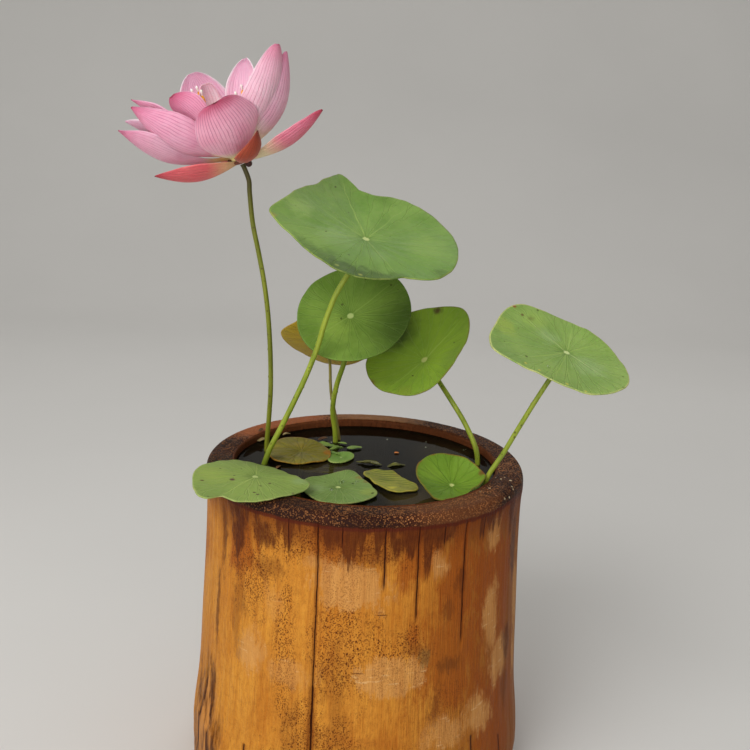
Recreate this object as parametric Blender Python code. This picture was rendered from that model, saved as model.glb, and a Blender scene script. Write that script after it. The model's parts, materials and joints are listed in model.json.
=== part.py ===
"""Bowl lotus: a small lotus in flower, rooted in mud and water in a cut length of bamboo culm.

Sizes below are in millimetres and turned into metres when a mesh is made. The origin is the
middle of the culm's flat foot, +Z is up, +X is to the right and -Y is to the front.
"""

import math
import random
from dataclasses import dataclass

import bmesh
import bpy
from mathutils import Matrix, Vector

MM = 0.001
GAP = 0.35                      # room between pieces that touch
SMOOTH_UNDER = math.radians(50) # faces that meet at less than this are shaded as one surface

# The culm, a pot cut from giant bamboo just under its node
CULM_INNER_RADIUS = 67.0
CULM_FLOOR = 20.0               # top of the wall of wood that closes the culm
CULM_SIDES = 48
CULM_OUTSIDE = (                # (height, radius) up the outside
    (0.0, 84.2), (2.5, 86.4), (17.0, 87.8), (30.0, 86.9), (53.0, 84.3), (90.0, 82.5),
    (125.0, 80.9), (148.0, 80.5), (157.0, 81.0), (161.6, 80.8), (164.2, 79.2),
)
CULM_INSIDE = (                 # over the lip and down the inside
    (165.0, 76.6), (165.0, 69.4), (164.3, 67.6), (162.5, CULM_INNER_RADIUS),
    (90.0, CULM_INNER_RADIUS), (CULM_FLOOR, CULM_INNER_RADIUS),
)
SCAR_DIRECTION = 207.0          # the flare where roots once grew, low on the left
SCAR_HALF_WIDTH = 24.0
SCAR_TOP = 75.0
SCAR_SWELL = 2.2

# What fills the culm
MUD_TOP = 115.0
WATER_TOP = 160.0
FILL_RADIUS = CULM_INNER_RADIUS - GAP
FILL_SIDES = 40

# The runner in the mud that every stalk grows from
RHIZOME_DEPTH = 86.0            # height of its centre line over the foot
RHIZOME_NODE_RADIUS = 5.0
RHIZOME_SWELL = 1.6             # how much fatter it is between two nodes
RHIZOME_SIDES = 8
RHIZOME_STEPS = 3               # stretches between two nodes
RHIZOME_END = 0.55              # how blunt its two ends are
RHIZOME_NODES = (
    (28, -46), (42, -35), (54, -21), (55, 10), (38, 38), (10, 46), (-16, 40),
    (-38, 30), (-51, 16), (-50, -4), (-41, -29), (-13, -38), (8, -42),
)

STALK_SIDES = 8
STALK_STEP = 15.0               # length of one straight stretch of a stalk
ROUTE_FINENESS = 24             # steps between two points of a route when its length is measured
STALK_FOOT_ROOM = 0.9           # clears the runner's swell beside its node
BLADE_THICKNESS = 0.75

# The bloom
BLOOM_BASE = Vector((-66.6, 5.0, 313.4))
BLOOM_AXIS = Vector((-0.37, -0.05, 0.93)).normalized()
BLOOM_FOCUS = 40.0              # height over the base that every petal faces
CORE_SIDES = 16                 # of the core, and of the disc and the pod on its axis
PETAL_THICKNESS = 0.7
PETAL_ROWS = 7                  # rows of points between its foot and its tip
PETAL_HALF = 2                  # columns of points on each side of its middle
PETAL_TIP_CROWDING = 1.3        # above 1 puts the rows closer together near the tip
PETAL_FOOT_SHARE = 0.16         # width of its foot as a share of its full width
PETAL_SKEW = 1.25               # above 1 puts the widest place nearer the tip
PETAL_FOOT_RADIUS = 3.2         # where petals leave the core
SEPAL_FOOT_RADIUS = 2.4
CORE_PROFILE = ((-0.9, 4.2), (1.5, 5.2), (4.0, 4.9), (5.2, 3.6))
SEPAL_DISC_PROFILE = ((-3.2, 2.0), (-2.7, 3.8), (-1.7, 4.4), (-1.3, 4.0))
POD_PROFILE = ((5.6, 2.6), (8.0, 3.0), (11.5, 3.4), (14.5, 4.3), (15.4, 3.8), (15.8, 2.0))
COLLAR_RADIUS = 4.45            # middle of the ring that the stamens stand on
COLLAR_HEIGHT = 10.4            # its middle over the bloom's base
COLLAR_HALF_SECTION = 0.55
COLLAR_SIDES = 24
STAMEN_COUNT = 18
STAMEN_LENGTHS = (19.0, 27.0)
STAMEN_SPLAY = (13.0, 25.0)     # degrees from the bloom's axis
STAMEN_FRONT = 235.0            # here they stand straighter, clear of the petal folded over them
STAMEN_FRONT_HALF_WIDTH = 120.0
STAMEN_FRONT_CUT = 0.65
STAMEN_RADII = (0.45, 0.45, 0.65, 0.35)   # from its foot, by way of the anther, to its tip
STAMEN_SIDES = 3
STAMEN_JITTER = 0.2             # share of the room between two stamens
STAMEN_BEND = 0.25              # how much sooner it leans out than a straight one
STAMEN_SEED = 11

COLOURS = {                     # base colour, roughness
    "culm": ((0.52, 0.27, 0.10), 0.55),
    "mud": ((0.05, 0.04, 0.03), 0.9),
    "water": ((0.02, 0.022, 0.016), 0.05),
    "rhizome": ((0.62, 0.52, 0.36), 0.7),
    "stalk": ((0.26, 0.36, 0.04), 0.5),
    "leaf": ((0.18, 0.33, 0.09), 0.55),
    "yellow_leaf": ((0.45, 0.27, 0.05), 0.6),
    "old_leaf": ((0.16, 0.14, 0.03), 0.6),
    "petal": ((0.78, 0.30, 0.42), 0.5),
    "sepal": ((0.55, 0.14, 0.10), 0.5),
    "pod": ((0.70, 0.62, 0.12), 0.5),
    "stamen": ((0.85, 0.55, 0.15), 0.5),
}


@dataclass(frozen=True)
class Leaf:
    """A round leaf held by a stalk under its middle."""

    name: str
    hub: tuple                  # top of the blade over its stalk
    tilt: float                 # degrees from level
    towards: float              # where it leans, 0 to the right and 90 to the front
    reach: tuple                # edge radius every 30 degrees, from the right by way of the back
    cup: float = 3.0            # height of the edge over the hub
    wave: float = 0.8           # height of the waves in the edge
    waves: int = 5
    phase: float = 0.0
    droops: tuple = ()          # (direction, half width, drop) of parts of the edge that hang
    points: tuple = ()          # (direction, half width, reach added) of points in the edge
    spokes: int = 24
    rings: tuple = (0.3, 0.7, 1.0)
    colour: str = "leaf"


@dataclass(frozen=True)
class Stalk:
    """A stalk that rises from the runner in the mud to a leaf or to the bloom."""

    name: str
    radius: float
    route: tuple                # points from its foot on the runner to just under its top
    carries: str                # the leaf on it, or the bloom
    neck: float = 8.0           # its last stretch, square to what it carries


@dataclass(frozen=True)
class Petal:
    """A petal or sepal, from the bloom's base to its tip."""

    tip: tuple                  # from the bloom's base, right, back and up
    width: float
    belly: float                # how far its back bulges from the straight line
    cup: float                  # degrees that each side turns up
    level: float = 1.5          # height of its foot on the core
    roll: float = 0.0           # degrees round its own length
    hook: float = 0.0           # how far the tip bends in
    fullness: float = 0.75      # less than 0.75 gives a blunter, rounder petal


LEAVES = (
    Leaf("tall_leaf", (-4, -5, 278), 26, 58, (45, 46, 44, 36, 42, 43, 42, 42, 40, 43, 38, 45),
         cup=5, wave=1.2, waves=4, phase=0.6, droops=((255, 70, 3.0),),
         points=((113, 20, 12.5), (192, 22, 6.0)), spokes=32, rings=(0.25, 0.6, 1.0)),
    Leaf("facing_leaf", (-11, 20, 235), 46, 98, (32, 32, 30, 28, 26, 26, 27, 28, 29, 30, 31, 32),
         cup=4, phase=1.0),
    Leaf("shaded_leaf", (29, 27, 211.5), 44, 132, (29, 35, 33, 34, 34, 33, 30, 27, 26, 24, 22, 23),
         cup=4, waves=3, phase=2.2),
    Leaf("yellow_leaf", (-22, 50, 215), 42, -85, (26, 28, 31, 31, 29, 28, 27, 24, 25, 27, 29, 28),
         colour="yellow_leaf", waves=3),
    Leaf("right_leaf", (93, -30, 231.5), 27, 58, (27, 24, 23, 24, 28, 35, 38, 42, 35, 33, 33, 32),
         waves=4, phase=2.6),
    Leaf("rim_leaf", (-51.7, -41.8, 167.8), 4, 0, (25, 18, 22, 27, 30, 28, 29, 32, 37, 30, 26, 27),
         cup=0.0, wave=0.3, waves=6, droops=((90, 80, 4.0), (270, 80, 1.0))),
    Leaf("front_floating_leaf", (-12.7, -33.8, 161.2), 2, 90,
         (18, 15, 18, 18, 16, 17, 18, 19, 20, 22, 22, 21), cup=0.8, wave=0.15, spokes=20),
    Leaf("wilted_leaf", (13, -22.6, 161.4), 0, 90, (10, 10, 10, 15, 17, 14, 9, 9, 10, 13, 15, 14),
         cup=0.5, wave=0.3, waves=4, spokes=16, rings=(0.5, 1.0)),
    Leaf("right_floating_leaf", (42.7, -30, 163), 20, 90,
         (16, 16, 16, 17, 18, 19, 17, 16, 17, 15, 12, 13.5), cup=5.5, wave=0.4, waves=7),
    Leaf("old_leaf", (-33.9, 15.2, 162.2), 4, 60, (15, 13, 14, 16, 18, 16, 16, 18, 20, 18, 16, 16),
         cup=0.6, wave=0.4, spokes=16, rings=(0.5, 1.0), colour="old_leaf"),
    Leaf("seedling_leaf", (-12.9, 10.8, 161.1), 0, 90, (7, 8, 8, 8, 7, 6.5, 6, 7, 8, 8, 7, 6.5),
         cup=0.2, wave=0.1, spokes=12, rings=(0.5, 1.0)),
)

STALKS = (
    Stalk("flower_stalk", 1.25, ((-51, 16, 0), (-53, 17, 125), (-53, 18, 160), (-51, 15, 195),
                                 (-52, 12, 228), (-55, 10, 254), (-61, 7.5, 285)), "bloom"),
    Stalk("tall_leaf_stalk", 1.4, ((-50, -4, 0), (-54, -3, 135), (-52, -3, 160), (-39, -4, 190),
                                   (-28, -4, 217), (-19, -4, 247)), "tall_leaf"),
    Stalk("facing_leaf_stalk", 1.4, ((-17.5, 39, 0), (-17, 38, 130), (-17, 38, 161),
                                     (-19, 33, 185), (-14, 29, 205)), "facing_leaf"),
    Stalk("shaded_leaf_stalk", 1.35, ((55, 10, 0), (59, 10, 130), (59, 10, 160), (57, 10, 170),
                                      (52, 14, 180), (43, 20, 193)), "shaded_leaf"),
    Stalk("yellow_leaf_stalk", 0.85, ((-14, 41.5, 0), (-13.5, 43, 130), (-15, 42.5, 161),
                                      (-20, 45, 182), (-21.5, 47, 200)), "yellow_leaf"),
    Stalk("right_leaf_stalk", 1.25, ((54, -21, 0), (57, -26, 135), (58, -27, 160),
                                     (64, -27, 173), (75, -28, 196), (85, -29, 216)), "right_leaf"),
    Stalk("rim_leaf_stalk", 1.0, ((-41, -29, 0), (-43, -31, 135), (-47, -37.5, 160.5)), "rim_leaf",
          neck=1.2),
    Stalk("front_floating_leaf_stalk", 1.0, ((-13, -38, 0), (-13, -35, 135)),
          "front_floating_leaf"),
    Stalk("right_floating_leaf_stalk", 1.0, ((42, -35, 0), (43, -33, 135)),
          "right_floating_leaf"),
    Stalk("old_leaf_stalk", 1.0, ((-38, 30, 0), (-36, 22, 130)), "old_leaf"),
)

PETALS = (
    # seen from the front
    Petal((-9, -20, 26), 46, 9.0, 78, level=1.0, roll=8, hook=3.0, fullness=0.5),
    Petal((20, -14, 53), 24, 3.5, 45, level=1.5, roll=-30),
    Petal((22, 0, 49), 20, 4.0, 35, level=2.5, roll=-20),
    Petal((-1, 24, 47), 27, 4.0, 35, level=3.5, roll=12, fullness=0.65),
    Petal((-26, 22, 40), 30, 5.0, 40, level=3.0, fullness=0.55),
    Petal((-30, -12, 28), 30, 4.5, 45, level=2.0, roll=35, fullness=0.6),
    Petal((-51, -14, 22), 28, 5.0, 48, level=2.0, roll=42, fullness=1.0),
    Petal((-54, 8, 28), 24, 2.0, 40, level=3.0, roll=20),
    Petal((-57, 5, 15), 18, 4.0, 40, level=1.5, roll=25),
    Petal((-57, -8, 11), 24, 6.0, 50, level=0.5, roll=28, fullness=0.8),
    # round the back
    Petal((13, 30, 32), 24, 6.0, 40, level=1.5),
    Petal((-18, 37, 24), 26, 6.0, 40, level=1.0),
    Petal((-42, 24, 15), 24, 6.0, 40, level=1.5),
    Petal((6, 33, 17), 22, 6.0, 40, level=0.5),
)

# a stamen grown into a small curled petal
PETALOID = Petal((-18, 11, 33), 14, 3.0, 70, level=10.0, hook=3.0, fullness=0.5)

SEPALS = (
    Petal((-38, -12, -10), 16, 5.0, 45, level=-2.3, roll=30, fullness=0.85),
    Petal((39, -6, 24), 11, 4.5, 50, level=-2.3, roll=-30, fullness=0.85),
    Petal((12, -27, 14), 14, 5.5, 45, level=-2.3, fullness=1.1),
    Petal((-12, 33, -4), 15, 5.0, 40, level=-2.3, fullness=0.85),
)


def clear_scene():
    """Removes whatever the file holds before the model is made."""
    for item in list(bpy.data.objects):
        bpy.data.objects.remove(item, do_unlink=True)


def make_material(name):
    """One plain material for each of the plant's tissues and for what it grows in."""
    known = bpy.data.materials.get(name)
    if known:
        return known
    colour, roughness = COLOURS[name]
    made = bpy.data.materials.new(name)
    made.use_nodes = True
    shader = made.node_tree.nodes["Principled BSDF"]
    shader.inputs["Base Color"].default_value = (*colour, 1.0)
    shader.inputs["Roughness"].default_value = roughness
    shader.inputs["Metallic"].default_value = 0.0
    return made


def add_solid(name, points, faces, colour, matrix=None):
    """Makes an object from points in millimetres and turns its faces outwards."""
    mesh = bpy.data.meshes.new(name)
    mesh.from_pydata([Vector(point) * MM for point in points], [], faces)
    shaper = bmesh.new()
    shaper.from_mesh(mesh)
    bmesh.ops.recalc_face_normals(shaper, faces=shaper.faces)
    shaper.to_mesh(mesh)
    shaper.free()
    mesh.shade_smooth()
    mesh.set_sharp_from_angle(angle=SMOOTH_UNDER)
    mesh.materials.append(make_material(colour))
    made = bpy.data.objects.new(name, mesh)
    bpy.context.scene.collection.objects.link(made)
    if matrix:
        made.matrix_world = matrix
    return made


def loft(rings):
    """Joins rings of points into one closed skin, each end closed by a fan."""
    sides = len(rings[0])
    points = [point for ring in rings for point in ring]
    faces = []
    for row in range(len(rings) - 1):
        for side in range(sides):
            here, there = row * sides + side, row * sides + (side + 1) % sides
            faces.append((here, there, there + sides, here + sides))
    for row in (0, len(rings) - 1):
        middle = sum(rings[row], Vector()) / sides
        points.append(middle)
        first = row * sides
        for side in range(sides):
            faces.append((first + side, first + (side + 1) % sides, len(points) - 1))
    return points, faces


def turned_rings(profile, sides, swell=None):
    """Rings of points round Z, one for each (height, radius) of the profile."""
    rings = []
    for height, radius in profile:
        ring = []
        for side in range(sides):
            turn = 2 * math.pi * side / sides
            wide = radius + (swell(height, math.degrees(turn)) if swell else 0.0)
            ring.append(Vector((wide * math.cos(turn), wide * math.sin(turn), height)))
        rings.append(ring)
    return rings


def window(angle, middle, half_width):
    """Rises smoothly from 0 at either side of a direction to 1 on it."""
    apart = abs((angle - middle + 180.0) % 360.0 - 180.0)
    if apart >= half_width:
        return 0.0
    return 0.5 + 0.5 * math.cos(math.pi * apart / half_width)


def between(values, position, closed):
    """Reads a smooth curve through values at a position counted in steps between them."""
    count = len(values)
    first = math.floor(position)
    share = position - first
    if closed:
        a, b, c, d = (values[(first + step) % count] for step in (-1, 0, 1, 2))
    else:
        a, b, c, d = (values[min(max(first + step, 0), count - 1)] for step in (-1, 0, 1, 2))
    square, cube = share * share, share * share * share
    return (b * 2.0 + (c - a) * share + (a * 2.0 - b * 5.0 + c * 4.0 - d) * square
            + (b * 3.0 - a - c * 3.0 + d) * cube) * 0.5


def smooth_route(points, spacing):
    """Evenly spaced points along a smooth curve through the given ones."""
    steps = (len(points) - 1) * ROUTE_FINENESS
    dense = [between(points, step / ROUTE_FINENESS, closed=False) for step in range(steps + 1)]
    lengths = [0.0]
    for before, after in zip(dense, dense[1:]):
        lengths.append(lengths[-1] + (after - before).length)
    stretches = max(2, round(lengths[-1] / spacing))
    route, here = [], 0
    for stretch in range(stretches + 1):
        wanted = lengths[-1] * stretch / stretches
        while here < len(lengths) - 2 and lengths[here + 1] < wanted:
            here += 1
        share = (wanted - lengths[here]) / (lengths[here + 1] - lengths[here])
        route.append(dense[here].lerp(dense[here + 1], share))
    return route


def tube_rings(route, radii, sides):
    """Rings of points square to a route, turned as little as they can be."""
    rings = []
    across = Vector((0, 1, 0))
    for index, (centre, radius) in enumerate(zip(route, radii)):
        before, after = route[max(index - 1, 0)], route[min(index + 1, len(route) - 1)]
        along = (after - before).normalized()
        across = (across - along * across.dot(along)).normalized()
        third = along.cross(across)
        ring = []
        for side in range(sides):
            turn = 2 * math.pi * side / sides
            ring.append(centre + (across * math.cos(turn) + third * math.sin(turn)) * radius)
        rings.append(ring)
    return rings


def thick_sheet(upper, lower, triangles, border):
    """Closes two like sheets of points into one thin solid, split alike on both faces."""
    count = len(upper)
    faces = list(triangles)
    faces += [tuple(count + corner for corner in reversed(triangle)) for triangle in triangles]
    for here, there in zip(border, border[1:] + border[:1]):
        faces.append((there, here, count + here))
        faces.append((there, count + here, count + there))
    return upper + lower, faces


def axis_frame(origin, up):
    """A frame whose Z runs along the given direction and whose X is as level as it can be."""
    right = Vector((0, 1, 0)).cross(up).normalized()
    back = up.cross(right)
    frame = Matrix((right, back, up)).transposed().to_4x4()
    frame.translation = origin
    return frame


def keep_main_body(mesh):
    """Drops loose scraps, and fills hollows that fusing has sealed by dropping their skins."""
    shaper = bmesh.new()
    shaper.from_mesh(mesh)
    left = set(shaper.faces)
    bodies = []
    while left:
        body, edge = set(), [left.pop()]
        while edge:
            face = edge.pop()
            body.add(face)
            for side in face.edges:
                for other in side.link_faces:
                    if other in left:
                        left.remove(other)
                        edge.append(other)
        bodies.append(body)
    main_body = max(bodies, key=len)
    loose = [face for body in bodies if body is not main_body for face in body]
    bmesh.ops.delete(shaper, geom=loose, context="FACES")
    shaper.to_mesh(mesh)
    shaper.free()


def unite(name, seed, parts):
    """Fuses parts into one body with the seed and takes the loose ones away."""
    group = bpy.data.collections.new(name + "_parts")
    bpy.context.scene.collection.children.link(group)
    for part in parts:
        group.objects.link(part)
    joint = seed.modifiers.new("fuse", "BOOLEAN")
    joint.operation = "UNION"
    joint.operand_type = "COLLECTION"
    joint.collection = group
    joint.solver = "MANIFOLD"
    bpy.context.view_layer.update()
    fused = bpy.data.meshes.new_from_object(seed.evaluated_get(bpy.context.evaluated_depsgraph_get()))
    keep_main_body(fused)
    seed.modifiers.clear()
    seed.data = fused
    for part in parts:
        bpy.data.objects.remove(part, do_unlink=True)
    bpy.data.collections.remove(group)
    return seed


def make_culm():
    """The pot: a length of giant bamboo, closed below and open above."""
    def swell(height, angle):
        fade = max(0.0, 1.0 - height / SCAR_TOP)
        return SCAR_SWELL * fade * window(angle, SCAR_DIRECTION, SCAR_HALF_WIDTH)

    outside = turned_rings(CULM_OUTSIDE, CULM_SIDES, swell)
    points, faces = loft(outside + turned_rings(CULM_INSIDE, CULM_SIDES))
    return add_solid("bamboo_culm", points, faces, "culm")


def rhizome_points():
    """The runner's nodes as points in space."""
    return [Vector((x, y, RHIZOME_DEPTH)) for x, y in RHIZOME_NODES]


def rhizome_rings(extra):
    """The runner's rings, fat between nodes and narrow at them, grown by some extra room."""
    nodes = rhizome_points()
    steps = (len(nodes) - 1) * RHIZOME_STEPS
    route, radii = [], []
    for step in range(steps + 1):
        position = step / RHIZOME_STEPS
        route.append(between(nodes, position, closed=False))
        bulge = abs(math.sin(math.pi * position))
        blunt = RHIZOME_END if step in (0, steps) else 1.0
        radii.append((RHIZOME_NODE_RADIUS + RHIZOME_SWELL * bulge) * blunt + extra)
    if extra:
        route[0] += (route[0] - route[1]).normalized() * extra
        route[-1] += (route[-1] - route[-2]).normalized() * extra
    return tube_rings(route, radii, RHIZOME_SIDES)


def make_rhizome():
    """The runner that lies curled in the mud."""
    points, faces = loft(rhizome_rings(0.0))
    return add_solid("rhizome", points, faces, "rhizome")


def leaf_frame(leaf):
    """A frame on the leaf's hub whose Z stands square to its blade."""
    tilt, towards = math.radians(leaf.tilt), math.radians(leaf.towards)
    up = Vector((math.sin(tilt) * math.cos(towards), -math.sin(tilt) * math.sin(towards),
                 math.cos(tilt)))
    return axis_frame(Vector(leaf.hub), up)


def edge_reach(leaf, angle):
    """Distance from a leaf's hub to its edge in one direction."""
    reach = between(leaf.reach, angle / 30.0, closed=True)
    for direction, half_width, added in leaf.points:
        reach += added * window(angle, direction, half_width)
    return reach


def edge_lift(leaf, angle):
    """Height of a leaf's edge over its hub in one direction."""
    lift = leaf.cup + leaf.wave * math.cos(leaf.waves * math.radians(angle) + leaf.phase)
    for direction, half_width, drop in leaf.droops:
        lift -= drop * window(angle, direction, half_width)
    return lift


def make_blade(leaf):
    """A leaf's blade: rings round its hub, cupped and waved, a little under a millimetre thick."""
    upper = [Vector()]
    for share in leaf.rings:
        for spoke in range(leaf.spokes):
            angle = 360.0 * spoke / leaf.spokes
            radius = share * edge_reach(leaf, angle)
            turn = math.radians(angle)
            lift = edge_lift(leaf, angle) * share * share
            upper.append(Vector((radius * math.cos(turn), radius * math.sin(turn), lift)))
    lower = [point - Vector((0, 0, BLADE_THICKNESS)) for point in upper]
    triangles = []
    for spoke in range(leaf.spokes):
        after = (spoke + 1) % leaf.spokes
        triangles.append((0, 1 + spoke, 1 + after))
        for ring in range(len(leaf.rings) - 1):
            inner = 1 + ring * leaf.spokes
            outer = inner + leaf.spokes
            triangles.append((inner + spoke, outer + spoke, outer + after))
            triangles.append((inner + spoke, outer + after, inner + after))
    last = 1 + (len(leaf.rings) - 1) * leaf.spokes
    border = [last + spoke for spoke in range(leaf.spokes)]
    points, faces = thick_sheet(upper, lower, triangles, border)
    frame = leaf_frame(leaf)
    frame.translation *= MM
    return add_solid(leaf.name, points, faces, leaf.colour, frame)


def stalk_route(stalk):
    """Points along a stalk, from its foot on the runner to its seat under what it carries."""
    foot = Vector(stalk.route[0])
    foot.z = RHIZOME_DEPTH + RHIZOME_NODE_RADIUS + STALK_FOOT_ROOM
    if stalk.carries == "bloom":
        up = BLOOM_AXIS
        top = BLOOM_BASE + up * (SEPAL_DISC_PROFILE[0][0] - GAP)
    else:
        leaf = next(leaf for leaf in LEAVES if leaf.name == stalk.carries)
        frame = leaf_frame(leaf)
        up = frame.col[2].to_3d()
        top = Vector(leaf.hub) - up * (BLADE_THICKNESS + GAP)
    neck = top - up * stalk.neck
    middle = [Vector(point) for point in stalk.route[1:]]
    route = smooth_route([foot] + middle + [neck, top], STALK_STEP)
    below = [point for point in route if (point - top).length > 1.6 * stalk.neck]
    return below + [neck, top]


def make_stalk(stalk):
    """A stalk as a slim round tube."""
    route = stalk_route(stalk)
    points, faces = loft(tube_rings(route, [stalk.radius] * len(route), STALK_SIDES))
    return add_solid(stalk.name, points, faces, "stalk")


def make_fill():
    """Mud and water, each with plain holes where the runner and the stalks stand in it."""
    room = bpy.data.collections.new("room_for_the_plant")
    bpy.context.scene.collection.children.link(room)
    cutters = [add_solid("room_rhizome", *loft(rhizome_rings(GAP)), "mud")]
    for stalk in STALKS:
        route = stalk_route(stalk)
        route.insert(0, Vector((route[0].x, route[0].y, RHIZOME_DEPTH)))
        route = [point for point in route if point.z < WATER_TOP + STALK_STEP]
        radii = [stalk.radius + GAP] * len(route)
        cutters.append(add_solid("room_" + stalk.name, *loft(tube_rings(route, radii, STALK_SIDES)),
                                 "mud"))
    for cutter in cutters:
        bpy.context.scene.collection.objects.unlink(cutter)
        room.objects.link(cutter)
        cutter.hide_render = True
        cutter.display_type = "WIRE"
    levels = (("pond_mud", CULM_FLOOR + GAP, MUD_TOP, "mud"),
              ("pond_water", MUD_TOP + GAP, WATER_TOP, "water"))
    for name, low, high, colour in levels:
        profile = ((low, FILL_RADIUS), (high, FILL_RADIUS))
        points, faces = loft(turned_rings(profile, FILL_SIDES))
        fill = add_solid(name, points, faces, colour)
        cut = fill.modifiers.new("holes", "BOOLEAN")
        cut.operation = "DIFFERENCE"
        cut.operand_type = "COLLECTION"
        cut.collection = room
        cut.solver = "EXACT"


def petal_width(petal, share):
    """A petal's width at a share of its length."""
    spread = math.sin(math.pi * share ** PETAL_SKEW) ** petal.fullness
    return petal.width * (PETAL_FOOT_SHARE * (1.0 - share) + spread)


def make_petal(petal, foot_radius, name, colour):
    """A cupped petal: narrow at its foot, broad past the middle and pointed at its tip."""
    reach = Vector(petal.tip)
    outwards = (reach - BLOOM_AXIS * reach.dot(BLOOM_AXIS)).normalized()
    foot = BLOOM_BASE + BLOOM_AXIS * petal.level + outwards * foot_radius
    tip = BLOOM_BASE + reach
    along = (tip - foot).normalized()
    length = (tip - foot).length
    facing = BLOOM_BASE + BLOOM_AXIS * BLOOM_FOCUS - foot.lerp(tip, 0.5)
    facing = (facing - along * facing.dot(along)).normalized()
    facing = Matrix.Rotation(math.radians(petal.roll), 3, along) @ facing
    aside = facing.cross(along)

    upper, lower = [], []
    for row in range(PETAL_ROWS):
        share = 1.0 - (1.0 - row / PETAL_ROWS) ** PETAL_TIP_CROWDING
        slope = math.pi * petal.belly / length * math.cos(math.pi * share)
        inwards = (facing + along * slope).normalized()
        spine = foot.lerp(tip, share) - facing * petal.belly * math.sin(math.pi * share)
        spine += facing * petal.hook * share ** 4
        turn = math.radians(petal.cup)
        bend = petal_width(petal, share) / 2 / turn
        for column in range(-PETAL_HALF, PETAL_HALF + 1):
            swing = turn * column / PETAL_HALF
            point = spine + aside * bend * math.sin(swing)
            point += inwards * bend * (1 - math.cos(swing))
            hollow = inwards * math.cos(swing) - aside * math.sin(swing)
            upper.append(point)
            lower.append(point - hollow * PETAL_THICKNESS)
    end = tip + facing * petal.hook
    upper.append(end)
    lower.append(end - facing * PETAL_THICKNESS)

    across = 2 * PETAL_HALF + 1
    triangles = []
    for row in range(PETAL_ROWS - 1):
        for column in range(across - 1):
            here = row * across + column
            triangles.append((here, here + 1, here + across + 1))
            triangles.append((here, here + across + 1, here + across))
    last = (PETAL_ROWS - 1) * across
    for column in range(across - 1):
        triangles.append((last + column, last + column + 1, last + across))
    border = list(range(across))
    border += [row * across + across - 1 for row in range(1, PETAL_ROWS)]
    border += [last + across]
    border += [row * across for row in range(PETAL_ROWS - 1, 0, -1)]
    points, faces = thick_sheet(upper, lower, triangles, border)
    return add_solid(name, points, faces, colour)


def on_bloom_axis(profile, sides=CORE_SIDES):
    """Rings of a turned shape that stands on the bloom's axis."""
    frame = axis_frame(BLOOM_BASE, BLOOM_AXIS)
    return [[frame @ point for point in ring] for ring in turned_rings(profile, sides)]


def make_petals():
    """All the pink petals, fused at the core they grow from."""
    core = add_solid("petals", *loft(on_bloom_axis(CORE_PROFILE)), "petal")
    parts = [make_petal(petal, PETAL_FOOT_RADIUS, "petal", "petal") for petal in PETALS]
    return unite("petals", core, parts)


def make_sepals():
    """The red sepals under the petals, fused at the disc that the stalk carries."""
    disc = add_solid("sepals", *loft(on_bloom_axis(SEPAL_DISC_PROFILE)), "sepal")
    parts = [make_petal(sepal, SEPAL_FOOT_RADIUS, "sepal", "sepal") for sepal in SEPALS]
    return unite("sepals", disc, parts)


def make_pod():
    """The seed pod in the middle of the bloom, a small cone with its broad end up."""
    return add_solid("seed_pod", *loft(on_bloom_axis(POD_PROFILE)), "pod")


def make_stamens():
    """The stamens and the petal-like one among them, fused to the collar they stand on."""
    low, high = COLLAR_HEIGHT - COLLAR_HALF_SECTION, COLLAR_HEIGHT + COLLAR_HALF_SECTION
    inner, outer = COLLAR_RADIUS - COLLAR_HALF_SECTION, COLLAR_RADIUS + COLLAR_HALF_SECTION
    rings = on_bloom_axis(((low, inner), (low, outer), (high, outer), (high, inner)), COLLAR_SIDES)
    points = [point for ring in rings for point in ring]
    faces = []
    for row in range(len(rings)):
        above = (row + 1) % len(rings) * COLLAR_SIDES
        for side in range(COLLAR_SIDES):
            here, after = row * COLLAR_SIDES + side, (side + 1) % COLLAR_SIDES
            faces.append((here, row * COLLAR_SIDES + after, above + after, above + side))
    collar = add_solid("stamens", points, faces, "stamen")
    draw = random.Random(STAMEN_SEED)
    frame = axis_frame(BLOOM_BASE, BLOOM_AXIS)
    parts = [make_petal(PETALOID, COLLAR_RADIUS, "petaloid", "stamen")]
    for index in range(STAMEN_COUNT):
        angle = 360.0 * (index + draw.uniform(-STAMEN_JITTER, STAMEN_JITTER)) / STAMEN_COUNT
        outwards = Vector((math.cos(math.radians(angle)), math.sin(math.radians(angle)), 0))
        upright = 1.0 - STAMEN_FRONT_CUT * window(angle, STAMEN_FRONT, STAMEN_FRONT_HALF_WIDTH)
        splay = math.radians(draw.uniform(*STAMEN_SPLAY)) * upright
        length = draw.uniform(*STAMEN_LENGTHS)
        route = []
        for step in range(len(STAMEN_RADII)):
            share = step / (len(STAMEN_RADII) - 1)
            lean = math.sin(splay) * length * share * (1.0 + STAMEN_BEND * (1.0 - share))
            height = COLLAR_HEIGHT + math.cos(splay) * length * share
            route.append(frame @ (outwards * (COLLAR_RADIUS + lean) + Vector((0, 0, height))))
        parts.append(add_solid("stamen", *loft(tube_rings(route, STAMEN_RADII, STAMEN_SIDES)), "stamen"))
    return unite("stamens", collar, parts)


def main():
    """Builds the whole plant in its pot."""
    clear_scene()
    make_culm()
    make_fill()
    make_rhizome()
    for stalk in STALKS:
        make_stalk(stalk)
    for leaf in LEAVES:
        make_blade(leaf)
    make_petals()
    make_sepals()
    make_pod()
    make_stamens()


main()
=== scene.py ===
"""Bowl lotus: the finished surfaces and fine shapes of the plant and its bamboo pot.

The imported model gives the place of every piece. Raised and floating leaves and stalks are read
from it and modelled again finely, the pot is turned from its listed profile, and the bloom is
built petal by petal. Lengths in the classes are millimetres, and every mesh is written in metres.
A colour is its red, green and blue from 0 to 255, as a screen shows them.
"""

from __future__ import annotations

import functools
import json
import logging
import math
import random
from collections.abc import Callable
from dataclasses import dataclass
from enum import Enum

import bmesh
import bpy
import numpy as np
from mathutils import Matrix, Vector, noise

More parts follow.
